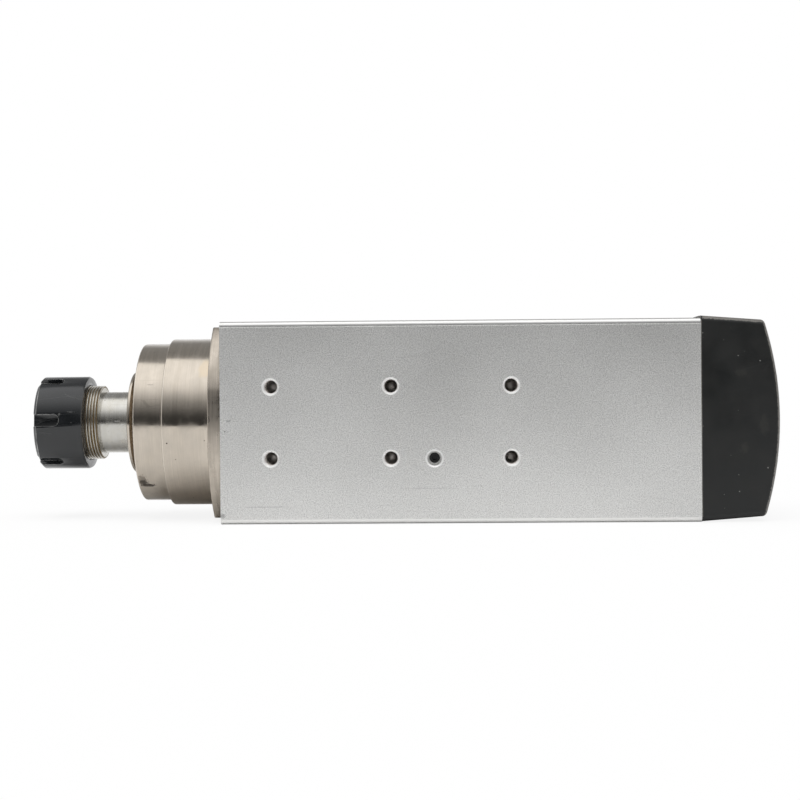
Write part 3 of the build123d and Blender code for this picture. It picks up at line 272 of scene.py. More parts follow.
def newGroup(name, inputs, outputs):
    group = bpy.data.node_groups.new(name, "ShaderNodeTree")
    for socketName, kind, value in inputs:
        socket = group.interface.new_socket(socketName, in_out="INPUT", socket_type="NodeSocket" + kind)
        socket.default_value = value
    for socketName, kind in outputs:
        group.interface.new_socket(socketName, in_out="OUTPUT", socket_type="NodeSocket" + kind)
    start = placeNode(group, "NodeGroupInput", -1100, 0)
    end = placeNode(group, "NodeGroupOutput", 700, 0)
    return group, start.outputs, end.inputs


def useGroup(tree, group, x, y, **values):
    node = placeNode(tree, "ShaderNodeGroup", x, y, node_tree=group)
    for key, value in values.items():
        feed(tree, node.inputs[key], value)
    return node.outputs


# shader groups: each reads Object coordinates, with its sizes in millimetres
def objectPlace(group):
    return placeNode(group, "ShaderNodeTexCoord", -1100, -300).outputs["Object"]


def noiseAt(group, x, y, vector, scale, detail=3.0):
    noise = placeNode(group, "ShaderNodeTexNoise", x, y)
    feed(group, noise.inputs["Vector"], vector)
    feed(group, noise.inputs["Scale"], scale)
    feed(group, noise.inputs["Detail"], detail)
    return noise.outputs[0]


# even grain, as from bead blasting or a moulded texture, and a broad cloudiness
evenGrain, groupIn, groupOut = newGroup(
    "evenGrain",
    [("Size", "Float", 0.6), ("CloudSize", "Float", 30.0)],
    [("Grain", "Float"), ("Cloud", "Float")],
)
place = objectPlace(evenGrain)
grainScale = mathStep(evenGrain, "DIVIDE", -700, 0, perMetre, groupIn["Size"])
cloudScale = mathStep(evenGrain, "DIVIDE", -700, -300, perMetre, groupIn["CloudSize"])
grain = noiseAt(evenGrain, -450, 0, place, grainScale, 2.0)
cloud = noiseAt(evenGrain, -450, -300, place, cloudScale, 4.0)
evenGrain.links.new(mapRange(evenGrain, -200, 0, grain, 0.3, 0.7, 0.0, 1.0), groupOut["Grain"])
evenGrain.links.new(mapRange(evenGrain, -200, -300, cloud, 0.35, 0.65, 0.0, 1.0), groupOut["Cloud"])


# fine rings left by a lathe tool round the X axis, and broader bands of them
turnedRings, groupIn, groupOut = newGroup(
    "turnedRings",
    [("Pitch", "Float", 0.3), ("BandWidth", "Float", 4.0), ("Run", "Float", 25.0)],
    [("Rings", "Float"), ("Bands", "Float")],
)
splitPlace = placeNode(turnedRings, "ShaderNodeSeparateXYZ", -900, -300)
turnedRings.links.new(objectPlace(turnedRings), splitPlace.inputs[0])
runScale = mathStep(turnedRings, "DIVIDE", -900, -80, perMetre, groupIn["Run"])
for outName, width, y in (("Rings", "Pitch", 0), ("Bands", "BandWidth", -400)):
    acrossScale = mathStep(turnedRings, "DIVIDE", -720, y + 100, perMetre, groupIn[width])
    ringPlace = placeNode(turnedRings, "ShaderNodeCombineXYZ", -340, y)
    for i, scale in enumerate((acrossScale, runScale, runScale)):
        stretched = mathStep(turnedRings, "MULTIPLY", -540, y - 60 * i, splitPlace.outputs[i], scale)
        turnedRings.links.new(stretched, ringPlace.inputs[i])
    ringNoise = noiseAt(turnedRings, -150, y, ringPlace.outputs[0], 1.0)
    turnedRings.links.new(mapRange(turnedRings, 60, y, ringNoise, 0.3, 0.7, 0.0, 1.0), groupOut[outName])


# scattered dust specks or small pits
dustSpecks, groupIn, groupOut = newGroup(
    "dustSpecks", [("Spacing", "Float", 6.0), ("Radius", "Float", 0.4)], [("Specks", "Float")]
)
speckScale = mathStep(dustSpecks, "DIVIDE", -800, 0, perMetre, groupIn["Spacing"])
speckCells = placeNode(dustSpecks, "ShaderNodeTexVoronoi", -550, 0)
dustSpecks.links.new(objectPlace(dustSpecks), speckCells.inputs["Vector"])
dustSpecks.links.new(speckScale, speckCells.inputs["Scale"])
cellTone = placeNode(dustSpecks, "ShaderNodeSeparateColor", -340, -160)
dustSpecks.links.new(speckCells.outputs["Color"], cellTone.inputs[0])
cellSize = mathStep(dustSpecks, "POWER", -150, -160, cellTone.outputs[0], 3.0)
radiusInCells = mathStep(dustSpecks, "DIVIDE", -150, -320, groupIn["Radius"], groupIn["Spacing"])
speckReach = mathStep(dustSpecks, "MULTIPLY", 50, -200, cellSize, radiusInCells)
speckMask = mathStep(dustSpecks, "LESS_THAN", 250, 0, speckCells.outputs["Distance"], speckReach)
dustSpecks.links.new(speckMask, groupOut["Specks"])


# thin scratches that run mostly along X, only here and there
thinScratches, groupIn, groupOut = newGroup(
    "thinScratches",
    [
        ("Length", "Float", 70.0), ("Spacing", "Float", 9.0),
        ("Width", "Float", 0.12), ("Share", "Float", 0.62),
    ],
    [("Scratches", "Float")],
)
tiltPlace = placeNode(thinScratches, "ShaderNodeMapping", -900, -300)
tiltPlace.inputs["Rotation"].default_value = (0.0, radians(2.5), radians(2.0))
place = objectPlace(thinScratches)
thinScratches.links.new(place, tiltPlace.inputs["Vector"])
splitPlace = placeNode(thinScratches, "ShaderNodeSeparateXYZ", -720, -300)
thinScratches.links.new(tiltPlace.outputs[0], splitPlace.inputs[0])
alongScale = mathStep(thinScratches, "DIVIDE", -720, 60, perMetre, groupIn["Length"])
acrossScale = mathStep(thinScratches, "DIVIDE", -720, -100, perMetre, groupIn["Spacing"])
scratchPlace = placeNode(thinScratches, "ShaderNodeCombineXYZ", -320, 0)
for i, scale in enumerate((alongScale, acrossScale, acrossScale)):
    stretched = mathStep(thinScratches, "MULTIPLY", -520, 60 - 120 * i, splitPlace.outputs[i], scale)
    thinScratches.links.new(stretched, scratchPlace.inputs[i])
scratchCells = placeNode(thinScratches, "ShaderNodeTexVoronoi", -100, 0, feature="DISTANCE_TO_EDGE")
scratchCells.inputs["Scale"].default_value = 1.0
thinScratches.links.new(scratchPlace.outputs[0], scratchCells.inputs["Vector"])
widthInCells = mathStep(thinScratches, "DIVIDE", -100, -260, groupIn["Width"], groupIn["Spacing"])
scratchLine = mathStep(thinScratches, "LESS_THAN", 120, 0, scratchCells.outputs["Distance"], widthInCells)
scratchGate = noiseAt(thinScratches, -100, -420, place, 24.0, 2.0)
scratchKept = mathStep(thinScratches, "GREATER_THAN", 120, -420, scratchGate, groupIn["Share"])
scratchMask = mathStep(thinScratches, "MULTIPLY", 340, -100, scratchLine, scratchKept)
thinScratches.links.new(scratchMask, groupOut["Scratches"])


# one mark at a stated place, with a ragged edge
spotMark, groupIn, groupOut = newGroup(
    "spotMark",
    [
        ("Centre", "Vector", (0.0, 0.0, 0.0)), ("Reach", "Vector", (1.0, 1.0, 1.0)),
        ("Ragged", "Float", 0.5), ("Grain", "Float", 1.0),
    ],
    [("Mark", "Float")],
)
place = objectPlace(spotMark)
markScale = mathStep(spotMark, "DIVIDE", -900, -500, perMetre, groupIn["Grain"])
markNoise = noiseAt(spotMark, -700, -500, place, markScale, 4.0)
fromCentre = placeNode(spotMark, "ShaderNodeVectorMath", -700, 0, operation="SUBTRACT")
spotMark.links.new(place, fromCentre.inputs[0])
spotMark.links.new(groupIn["Centre"], fromCentre.inputs[1])
inReach = placeNode(spotMark, "ShaderNodeVectorMath", -500, 0, operation="DIVIDE")
spotMark.links.new(fromCentre.outputs[0], inReach.inputs[0])
spotMark.links.new(groupIn["Reach"], inReach.inputs[1])
spotDistance = placeNode(spotMark, "ShaderNodeVectorMath", -320, 0, operation="LENGTH")
spotMark.links.new(inReach.outputs[0], spotDistance.inputs[0])
noiseShift = mathStep(spotMark, "MULTIPLY", -320, -300, markNoise, groupIn["Ragged"])
raggedDistance = mathStep(spotMark, "ADD", -120, 0, spotDistance.outputs["Value"], noiseShift)
spotMark.links.new(mapRange(spotMark, 80, 0, raggedDistance, 1.0, 0.8, 0.0, 1.0), groupOut["Mark"])


# distance from the X axis between two radii, for what gathers in roots and grooves
rootSlack = 0.35  # how far under the inner radius still counts, in millimetres
axisDepth, groupIn, groupOut = newGroup(
    "axisDepth", [("Inner", "Float", 19.1), ("Outer", "Float", 20.0)], [("Depth", "Float")]
)
splitPlace = placeNode(axisDepth, "ShaderNodeSeparateXYZ", -800, 0)
axisDepth.links.new(objectPlace(axisDepth), splitPlace.inputs[0])
squareY = mathStep(axisDepth, "MULTIPLY", -600, 0, splitPlace.outputs[1], splitPlace.outputs[1])
alongZ = splitPlace.outputs[2]
squareSum = mathStep(axisDepth, "MULTIPLY_ADD", -420, 0, alongZ, alongZ, squareY)
fromAxis = mathStep(axisDepth, "MULTIPLY", -60, 0, mathStep(axisDepth, "SQRT", -240, 0, squareSum), perMetre)
deepness = mapRange(axisDepth, 140, 0, fromAxis, groupIn["Outer"], groupIn["Inner"], 0.0, 1.0)
pastRoot = mathStep(axisDepth, "SUBTRACT", 140, -200, groupIn["Inner"], rootSlack)
inThread = mathStep(axisDepth, "GREATER_THAN", 320, -200, fromAxis, pastRoot)
axisDepth.links.new(mathStep(axisDepth, "MULTIPLY", 500, 0, deepness, inThread), groupOut["Depth"])
print("shader groups made")


# finishes
# base colour in patches, a fine pattern, specks, scratches and single marks, with gloss to match
def makeFinish(name, look):
    material = bpy.data.materials.new(name)
    material.use_nodes = True
    tree = material.node_tree
    shader = tree.nodes["Principled BSDF"]
    shader.inputs["Metallic"].default_value = look.get("metallic", 1.0)
    shader.inputs["IOR"].default_value = look.get("ior", 1.5)
    if "ringPitch" in look:
        pattern = useGroup(
            tree, turnedRings, -1500, 300, Pitch=look["ringPitch"], BandWidth=look["bandWidth"]
        )
        fine, broad = pattern["Rings"], pattern["Bands"]
    else:
        pattern = useGroup(tree, evenGrain, -1500, 300, Size=look["grainSize"], CloudSize=look["cloudSize"])
        fine, broad = pattern["Grain"], pattern["Cloud"]
    colour = mixColour(tree, -1200, 300, broad, look["darkColour"], look["lightColour"])
    contrast = look.get("fineContrast", 0.06)
    fineTone = mapRange(tree, -1200, 60, fine, 0.0, 1.0, 1.0 - contrast, 1.0 + contrast)
    toned = placeNode(tree, "ShaderNodeVectorMath", -1000, 300, operation="SCALE")
    tree.links.new(colour, toned.inputs[0])
    tree.links.new(fineTone, toned.inputs["Scale"])
    colour = toned.outputs[0]
    gloss = mapRange(tree, -1000, -200, broad, 0.0, 1.0, look["roughness"][0], look["roughness"][1])
    if "haze" in look:
        haze = useGroup(tree, evenGrain, -1500, -300, CloudSize=look["haze"]["size"])["Cloud"]
        hazeTone = mapRange(tree, -1200, -300, haze, 0.0, 1.0, 0.0, look["haze"]["share"])
        colour = mixColour(tree, -900, 500, hazeTone, colour, look["haze"]["colour"])
        hazeGloss = mapRange(tree, -1200, -500, haze, 0.0, 1.0, 0.0, look["haze"]["roughness"])
        gloss = mathStep(tree, "ADD", -900, -300, gloss, hazeGloss)
    x = -800
    for spec in look.get("marks", ()):
        mark = useGroup(
            tree, spotMark, x, 600, Ragged=spec.get("ragged", 0.5), Grain=spec.get("grain", 1.0),
            Centre=tuple(v * mm for v in spec["centre"]), Reach=tuple(v * mm for v in spec["reach"]),
        )["Mark"]
        share = mathStep(tree, "MULTIPLY", x, 450, mark, spec.get("share", 1.0))
        colour = mixColour(tree, x + 180, 300, share, colour, spec["colour"])
        gloss = mapRange(tree, x + 180, -200, share, 0.0, 1.0, gloss, spec.get("roughness", 0.5))
        x += 360
    if "root" in look:
        root = look["root"]
        depth = useGroup(tree, axisDepth, x, 600, Inner=root["inner"], Outer=root["outer"])["Depth"]
        patches = mapRange(tree, x, 250, broad, 0.0, 1.0, root["least"], 1.0)
        share = mathStep(tree, "MULTIPLY", x, 450, depth, patches)
        colour = mixColour(tree, x + 180, 300, share, colour, root["colour"])
        gloss = mapRange(tree, x + 180, -200, share, 0.0, 1.0, gloss, root["roughness"])
        x += 360
    specks = useGroup(
        tree, dustSpecks, x, 600, Spacing=look["speckSpacing"], Radius=look["speckRadius"]
    )["Specks"]
    colour = mixColour(tree, x + 180, 300, specks, colour, look["speckColour"])
    scratches = useGroup(tree, thinScratches, x + 360, 600, Width=look["scratchWidth"])["Scratches"]
    share = mathStep(tree, "MULTIPLY", x + 360, 450, scratches, look.get("scratchShare", 0.5))
    colour = mixColour(tree, x + 540, 300, share, colour, look["scratchColour"])
    glossGrain = look.get("glossGrain", 0.03)
    fineGloss = mapRange(tree, x + 360, -400, fine, 0.0, 1.0, -glossGrain, glossGrain)
    gloss = mathStep(tree, "ADD", x + 540, -200, gloss, fineGloss)
    bump = placeNode(tree, "ShaderNodeBump", x + 540, -500)
    bump.inputs["Strength"].default_value = look["bump"]
    bump.inputs["Distance"].default_value = look["bumpDepth"] * mm
    tree.links.new(fine, bump.inputs["Height"])
    tree.links.new(colour, shader.inputs["Base Color"])
    tree.links.new(gloss, shader.inputs["Roughness"])
    tree.links.new(bump.outputs["Normal"], shader.inputs["Normal"])
    shader.location = (x + 800, 300)
    tree.nodes["Material Output"].location = (x + 1100, 300)
    return material


finishLooks = dict(
    noseSteel=dict(
        ringPitch=0.22, bandWidth=5.0, lightColour=(0.60, 0.54, 0.465), darkColour=(0.525, 0.47, 0.40),
        fineContrast=0.07, roughness=(0.08, 0.13), bump=0.2, bumpDepth=0.01,
        haze=dict(size=7.0, share=0.35, colour=(0.46, 0.42, 0.37), roughness=0.08),
        speckSpacing=5.0, speckRadius=0.5, speckColour=(0.10, 0.085, 0.07),
        scratchWidth=0.10, scratchShare=0.2, scratchColour=(0.22, 0.20, 0.17),
        marks=(
            dict(centre=(59.4, -30.0, -29.8), reach=(5.6, 9.0, 7.0), colour=(0.12, 0.10, 0.08), ragged=1.0,
                 grain=0.9, share=0.6),
            dict(centre=(59.8, -30.0, -31.6), reach=(5.0, 9.0, 3.4), colour=(0.07, 0.06, 0.05), ragged=0.9,
                 grain=0.8, share=0.85),
            dict(centre=(61.7, -28.0, -33.0), reach=(7.5, 9.0, 1.7), colour=(0.07, 0.06, 0.05), ragged=0.75,
                 grain=0.8, share=0.9),
            dict(centre=(75.0, -43.8, -10.5), reach=(0.45, 2.0, 0.45), colour=(0.03, 0.025, 0.02),
                 ragged=0.2),
            dict(centre=(94.5, -35.0, 27.0), reach=(9, 14, 13), colour=(0.60, 0.50, 0.37), ragged=1.0,
                 grain=9.0, share=0.6, roughness=0.2),
            dict(centre=(65.4, -37.4, 20.0), reach=(4.0, 6.0, 0.35), colour=(0.30, 0.27, 0.24), ragged=0.8,
                 grain=0.8, share=0.6),
        ),
    ),
    flangeSteel=dict(
        ringPitch=0.3, bandWidth=2.0, lightColour=(0.56, 0.505, 0.44), darkColour=(0.44, 0.395, 0.34),
        fineContrast=0.14, roughness=(0.22, 0.30), bump=0.4, bumpDepth=0.03,
        haze=dict(size=6.0, share=0.3, colour=(0.36, 0.32, 0.27), roughness=0.10),
        speckSpacing=2.6, speckRadius=0.35, speckColour=(0.20, 0.18, 0.15),
        scratchWidth=0.10, scratchShare=0.2, scratchColour=(0.22, 0.20, 0.17),
    ),
    # painted highlight: a paler steel for the nose's bevelled edges, so that they show as bright lines
    brightEdge=dict(
        ringPitch=0.3, bandWidth=6.0, lightColour=(0.74, 0.68, 0.60), darkColour=(0.56, 0.50, 0.43),
        roughness=(0.20, 0.30), bump=0.1, bumpDepth=0.01,
        speckSpacing=3.0, speckRadius=0.25, speckColour=(0.20, 0.17, 0.13),
        scratchWidth=0.08, scratchShare=0.2, scratchColour=(0.4, 0.37, 0.33),
    ),
    housingAluminium=dict(
        grainSize=0.55, cloudSize=60.0, lightColour=(0.855, 0.855, 0.84), darkColour=(0.82, 0.82, 0.805),
        metallic=0.90, fineContrast=0.24, roughness=(0.40, 0.44), bump=0.30, bumpDepth=0.025,
        speckSpacing=22.0, speckRadius=0.55, speckColour=(0.30, 0.30, 0.29),
        scratchWidth=0.08, scratchShare=0.10, scratchColour=(0.42, 0.42, 0.41),
        marks=(
            dict(centre=(129.0, -60.0, -42.6), reach=(24.0, 2.0, 0.32), colour=(0.44, 0.44, 0.44),
                 ragged=0.75, grain=3.0, share=0.7),
            dict(centre=(211.0, -60.0, -33.6), reach=(26.0, 2.0, 0.28), colour=(0.50, 0.50, 0.50),
                 ragged=0.8, grain=3.0, share=0.6),
            dict(centre=(109.3, -60.0, 1.0), reach=(2.4, 2.0, 1.1), colour=(0.36, 0.36, 0.36), ragged=1.0,
                 grain=0.7, share=0.6),
            dict(centre=(106.0, -60.0, -47.0), reach=(4.0, 2.0, 3.2), colour=(0.32, 0.32, 0.32),
                 ragged=1.15, grain=0.5, share=0.6),
            dict(centre=(206.8, -60.0, -20.8), reach=(0.9, 2.0, 0.5), colour=(0.95, 0.95, 0.95), ragged=0.7,
                 grain=0.4, share=0.8),
        ),
    ),
    cornerAluminium=dict(
        grainSize=0.7, cloudSize=60.0, lightColour=(0.845, 0.845, 0.83), darkColour=(0.81, 0.81, 0.795),
        metallic=0.90, fineContrast=0.03, roughness=(0.30, 0.34), bump=0.03, bumpDepth=0.01,
        glossGrain=0.01,
        speckSpacing=22.0, speckRadius=0.45, speckColour=(0.30, 0.30, 0.29),
        scratchWidth=0.08, scratchShare=0.10, scratchColour=(0.42, 0.42, 0.41),
    ),
    bareAluminium=dict(
        grainSize=0.3, cloudSize=3.0, lightColour=(0.97, 0.97, 0.96), darkColour=(0.90, 0.90, 0.89),
        metallic=0.55, fineContrast=0.04, roughness=(0.42, 0.50), bump=0.1, bumpDepth=0.01,
        speckSpacing=4.0, speckRadius=0.2, speckColour=(0.5, 0.5, 0.5),
        scratchWidth=0.05, scratchShare=0.2, scratchColour=(0.6, 0.6, 0.6),
    ),
    boreAluminium=dict(
        grainSize=0.3, cloudSize=3.0, lightColour=(0.93, 0.90, 0.87), darkColour=(0.86, 0.83, 0.80),
        fineContrast=0.06, roughness=(0.28, 0.36), bump=0.1, bumpDepth=0.01,
        speckSpacing=3.0, speckRadius=0.3, speckColour=(0.3, 0.27, 0.24),
        scratchWidth=0.05, scratchShare=0.2, scratchColour=(0.6, 0.6, 0.6),
    ),
    shaftSteel=dict(
        ringPitch=0.2, bandWidth=3.0, lightColour=(0.60, 0.59, 0.56), darkColour=(0.54, 0.53, 0.50),
        roughness=(0.17, 0.24), bump=0.2, bumpDepth=0.01,
        haze=dict(size=5.0, share=0.25, colour=(0.50, 0.46, 0.36), roughness=0.06),
        speckSpacing=2.4, speckRadius=0.4, speckColour=(0.22, 0.17, 0.10),
        scratchWidth=0.08, scratchShare=0.3, scratchColour=(0.34, 0.31, 0.27),
        root=dict(inner=19.25, outer=19.85, colour=(0.24, 0.165, 0.065), least=0.5, roughness=0.55),
        marks=(
            dict(centre=(43.5, -16.4, 0.9), reach=(2.4, 2.0, 0.35), colour=(0.85, 0.85, 0.83), ragged=0.7,
                 grain=0.8, share=0.8),
            dict(centre=(46.4, -16.4, -1.0), reach=(1.6, 2.0, 0.35), colour=(0.85, 0.85, 0.83), ragged=0.7,
                 grain=0.8, share=0.8),
        ),
    ),
    blackOxide=dict(
        grainSize=0.35, cloudSize=12.0, lightColour=(0.0105, 0.0122, 0.0138),
        darkColour=(0.0078, 0.0091, 0.0104),
        metallic=0.0, ior=1.6, fineContrast=0.12, roughness=(0.12, 0.18), bump=0.10, bumpDepth=0.01,
        speckSpacing=4.0, speckRadius=0.35, speckColour=(0.025, 0.022, 0.02),
        scratchWidth=0.08, scratchShare=0.3, scratchColour=(0.07, 0.07, 0.07),
        marks=(
            dict(centre=(22.4, -21.3, 13.0), reach=(0.55, 1.2, 0.6), colour=(0.02, 0.02, 0.02), ragged=0.3),
            dict(centre=(20.6, -25.0, 0.4), reach=(0.5, 1.2, 0.5), colour=(0.02, 0.02, 0.02), ragged=0.3),
            dict(centre=(14.2, -24.6, 5.0), reach=(2.0, 1.2, 2.2), colour=(0.12, 0.12, 0.118), ragged=1.1,
                 grain=0.7, share=0.7),
            dict(centre=(20.0, -24.2, 6.0), reach=(4.5, 1.2, 0.9), colour=(0.08, 0.08, 0.08), ragged=1.05,
                 grain=0.6, share=0.7),
        ),
    ),
    wornBlack=dict(
        grainSize=0.3, cloudSize=4.0, lightColour=(0.42, 0.42, 0.41), darkColour=(0.13, 0.13, 0.135),
        fineContrast=0.10, roughness=(0.18, 0.28), bump=0.10, bumpDepth=0.01,
        speckSpacing=4.0, speckRadius=0.3, speckColour=(0.05, 0.05, 0.05),
        scratchWidth=0.08, scratchShare=0.3, scratchColour=(0.3, 0.3, 0.3),
    ),
    colletSteel=dict(
        ringPitch=0.25, bandWidth=3.0, lightColour=(0.62, 0.61, 0.59), darkColour=(0.52, 0.51, 0.49),
        roughness=(0.16, 0.26), bump=0.1, bumpDepth=0.01,
        speckSpacing=4.0, speckRadius=0.25, speckColour=(0.15, 0.13, 0.10),
        scratchWidth=0.08, scratchShare=0.3, scratchColour=(0.3, 0.3, 0.3),
    ),
    # a darker, browner steel for the seals; on the slinger's rear faces it serves as painted shade of the gap
    # before the nose
    sealSteel=dict(
        ringPitch=0.3, bandWidth=2.5, lightColour=(0.50, 0.43, 0.35), darkColour=(0.30, 0.25, 0.19),
        roughness=(0.20, 0.30), bump=0.12, bumpDepth=0.01,
        haze=dict(size=4.0, share=0.5, colour=(0.28, 0.22, 0.15), roughness=0.08),
        speckSpacing=4.0, speckRadius=0.35, speckColour=(0.10, 0.08, 0.06),
        scratchWidth=0.08, scratchShare=0.3, scratchColour=(0.25, 0.24, 0.22),
    ),
    castAluminium=dict(
        grainSize=0.9, cloudSize=25.0, lightColour=(0.62, 0.62, 0.61), darkColour=(0.55, 0.55, 0.54),
        metallic=0.85,
        fineContrast=0.10, roughness=(0.40, 0.50), bump=0.4, bumpDepth=0.06,
        speckSpacing=9.0, speckRadius=0.45, speckColour=(0.22, 0.22, 0.21),
        scratchWidth=0.10, scratchShare=0.15, scratchColour=(0.42, 0.42, 0.41),
    ),
    copperWire=dict(
        grainSize=0.8, cloudSize=10.0, lightColour=(0.62, 0.28, 0.14), darkColour=(0.45, 0.18, 0.09),
        fineContrast=0.12, roughness=(0.30, 0.42), bump=0.5, bumpDepth=0.2,
        speckSpacing=5.0, speckRadius=0.3, speckColour=(0.2, 0.08, 0.04),
        scratchWidth=0.08, scratchColour=(0.4, 0.2, 0.1),
    ),
    brass=dict(
        grainSize=0.4, cloudSize=8.0, lightColour=(0.72, 0.55, 0.26), darkColour=(0.60, 0.44, 0.20),
        roughness=(0.25, 0.35), bump=0.1, bumpDepth=0.02,
        speckSpacing=4.0, speckRadius=0.25, speckColour=(0.25, 0.18, 0.08),
        scratchWidth=0.08, scratchColour=(0.45, 0.35, 0.18),
    ),
    coreSheets=dict(
        ringPitch=0.5, bandWidth=6.0, lightColour=(0.32, 0.32, 0.33), darkColour=(0.22, 0.22, 0.23),
        fineContrast=0.15, roughness=(0.40, 0.50), bump=0.4, bumpDepth=0.05,
        speckSpacing=6.0, speckRadius=0.4, speckColour=(0.12, 0.08, 0.06),
        scratchWidth=0.08, scratchColour=(0.3, 0.3, 0.3),
    ),
    coverPlastic=dict(
        grainSize=0.45, cloudSize=18.0, lightColour=(0.0062, 0.0073, 0.0073),
        darkColour=(0.0047, 0.0056, 0.0056),
        metallic=0.0, fineContrast=0.14, roughness=(0.34, 0.42), bump=0.25, bumpDepth=0.03, glossGrain=0.05,
        haze=dict(size=11.0, share=0.4, colour=(0.013, 0.0128, 0.0115), roughness=0.08),
        speckSpacing=3.6, speckRadius=0.34, speckColour=(0.22, 0.22, 0.21),
        scratchWidth=0.08, scratchShare=0.10, scratchColour=(0.04, 0.04, 0.04),
        marks=(
            dict(centre=(368.3, -57.5, 23.5), reach=(7, 4, 6), colour=(0.019, 0.019, 0.0165), ragged=1.0,
                 grain=5.0, share=0.7, roughness=0.5),
            dict(centre=(369.3, -57.5, -14.5), reach=(10, 4, 6), colour=(0.021, 0.021, 0.018), ragged=1.05,
                 grain=4.0, share=0.7, roughness=0.5),
            dict(centre=(380.0, -57.0, -4.0), reach=(5, 4, 12), colour=(0.019, 0.019, 0.0165), ragged=1.0,
                 grain=4.0, share=0.6, roughness=0.5),
        ),
    ),
    # painted highlight: a far paler plastic for the cover's bevels, its rounded rear rim and the
    # upward-facing part of its long top edges
    coverEdge=dict(
        grainSize=0.45, cloudSize=18.0, lightColour=(0.17, 0.16, 0.147), darkColour=(0.12, 0.112, 0.102),
        metallic=0.0, fineContrast=0.14, roughness=(0.26, 0.34), bump=0.2, bumpDepth=0.02,
        speckSpacing=3.6, speckRadius=0.3, speckColour=(0.22, 0.22, 0.21),
        scratchWidth=0.08, scratchShare=0.2, scratchColour=(0.12, 0.12, 0.115),
    ),
    glandPlastic=dict(
        grainSize=0.4, cloudSize=10.0, lightColour=(0.022, 0.022, 0.022), darkColour=(0.017, 0.017, 0.017),
        metallic=0.0, fineContrast=0.1, roughness=(0.30, 0.40), bump=0.15, bumpDepth=0.03,
        speckSpacing=6.0, speckRadius=0.3, speckColour=(0.07, 0.07, 0.07),
        scratchWidth=0.08, scratchShare=0.4, scratchColour=(0.06, 0.06, 0.06),
    ),
    blackRubber=dict(
        grainSize=0.5, cloudSize=8.0, lightColour=(0.018, 0.018, 0.018), darkColour=(0.012, 0.012, 0.012),
        metallic=0.0, fineContrast=0.1, roughness=(0.60, 0.75), bump=0.2, bumpDepth=0.03,
        speckSpacing=4.0, speckRadius=0.3, speckColour=(0.06, 0.06, 0.06),
        scratchWidth=0.06, scratchShare=0.3, scratchColour=(0.04, 0.04, 0.04),
    ),
    terminalPlastic=dict(
        grainSize=0.5, cloudSize=10.0, lightColour=(0.66, 0.64, 0.58), darkColour=(0.60, 0.58, 0.52),
        metallic=0.0, fineContrast=0.05, roughness=(0.40, 0.50), bump=0.1, bumpDepth=0.02,
        speckSpacing=6.0, speckRadius=0.3, speckColour=(0.35, 0.32, 0.28),
        scratchWidth=0.06, scratchShare=0.3, scratchColour=(0.5, 0.48, 0.42),
    ),
    ballCage=dict(
        grainSize=0.5, cloudSize=8.0, lightColour=(0.30, 0.16, 0.07), darkColour=(0.24, 0.12, 0.05),
        metallic=0.0, fineContrast=0.1, roughness=(0.50, 0.60), bump=0.2, bumpDepth=0.02,
        speckSpacing=4.0, speckRadius=0.3, speckColour=(0.12, 0.06, 0.03),
        scratchWidth=0.06, scratchShare=0.3, scratchColour=(0.25, 0.14, 0.07),
    ),
)
finishes = {name: makeFinish(name, look) for name, look in finishLooks.items()}
print("finishes made:", len(finishes))

# which finish each material slot of the record takes
slotFinish = dict(
    anodised_housing="housingAluminium", nose_steel="noseSteel", shaft_steel="shaftSteel",
    black_steel="blackOxide", collet_steel="colletSteel", seal_steel="sealSteel",
    bearing_steel="shaftSteel", cage="ballCage", spring_steel="sealSteel",
    lamination="coreSheets", copper="copperWire", cast_aluminium="castAluminium",
    cover_plastic="coverPlastic", fan_plastic="coverPlastic", box_paint="castAluminium",
    rubber="blackRubber", terminal_plastic="terminalPlastic", brass="brass", gland_plastic="glandPlastic",
)
for nodeName, node in nodes.items():
    paint(node, finishes[slotFinish[slotOfNode[nodeName]]])


# gives a further finish to the faces that the test picks out, by centre in millimetres and normal
def refinish(piece, material, picks):
    piece.data.materials.append(material)
    index = len(piece.data.materials) - 1
    for face in piece.data.polygons:
        if picks(face.center / mm, face.normal):
            face.material_index = index


# pieces whose edges catch the light: merged copies of the CAD nodes
edgeWidths = dict(
    housing=0.0, front_bearing_housing=0.3, rear_cover=0.45, collet_nut=0.22, slinger_ring=0.0,
    front_seal_cap=0.15, terminal_box_base=0.3, terminal_box_lid=0.3, cable_gland_body=0.25,
    cable_gland_nut=0.25, collet=0.1,
)
# the nose's and the cover's bevels take paler finishes as painted highlights; the nut's bevels take worn
# black
edgeFinishes = dict(collet_nut="wornBlack", front_bearing_housing="brightEdge", rear_cover="coverEdge")
dressed = {}
for nodeName, width in edgeWidths.items():
    words = nodeName.split("_")
    piece = dressedCopy(nodeName, words[0] + "".join(word.title() for word in words[1:]) + "Dressed")
    if nodeName in edgeFinishes:
        piece.data.materials.append(finishes[edgeFinishes[nodeName]])
    if width:
        softenEdges(piece, width, material=1 if nodeName in edgeFinishes else -1)
    smoothFaces(piece)
    dressed[nodeName] = piece
    print("dressed", nodeName, len(piece.data.polygons), "faces")

# countersunk hole mouths are bare, bright metal
holes = dict(
    x=(130.7, 191.7, 252.7), z=18.25, lockSpot=(213.7, -18.5), mouthRadius=4.8, faceY=-59.97, mouthEnd=-58.8,
    bottom=-38.0,
)
mountSpots = [(x, side * holes["z"]) for x in holes["x"] for side in (-1, 1)]
allSpots = mountSpots + [holes["lockSpot"]]


# whether a face lies round one of the spots, between two depths
def atHole(centre, spots, top, bottom):
    if not top < centre.y < bottom:
        return False
    return any((centre.x - x) ** 2 + (centre.z - z) ** 2 < holes["mouthRadius"] ** 2 for x, z in spots)


refinish(
    dressed["housing"], finishes["bareAluminium"],
    lambda centre, normal: atHole(centre, allSpots, holes["faceY"], holes["mouthEnd"]),
)

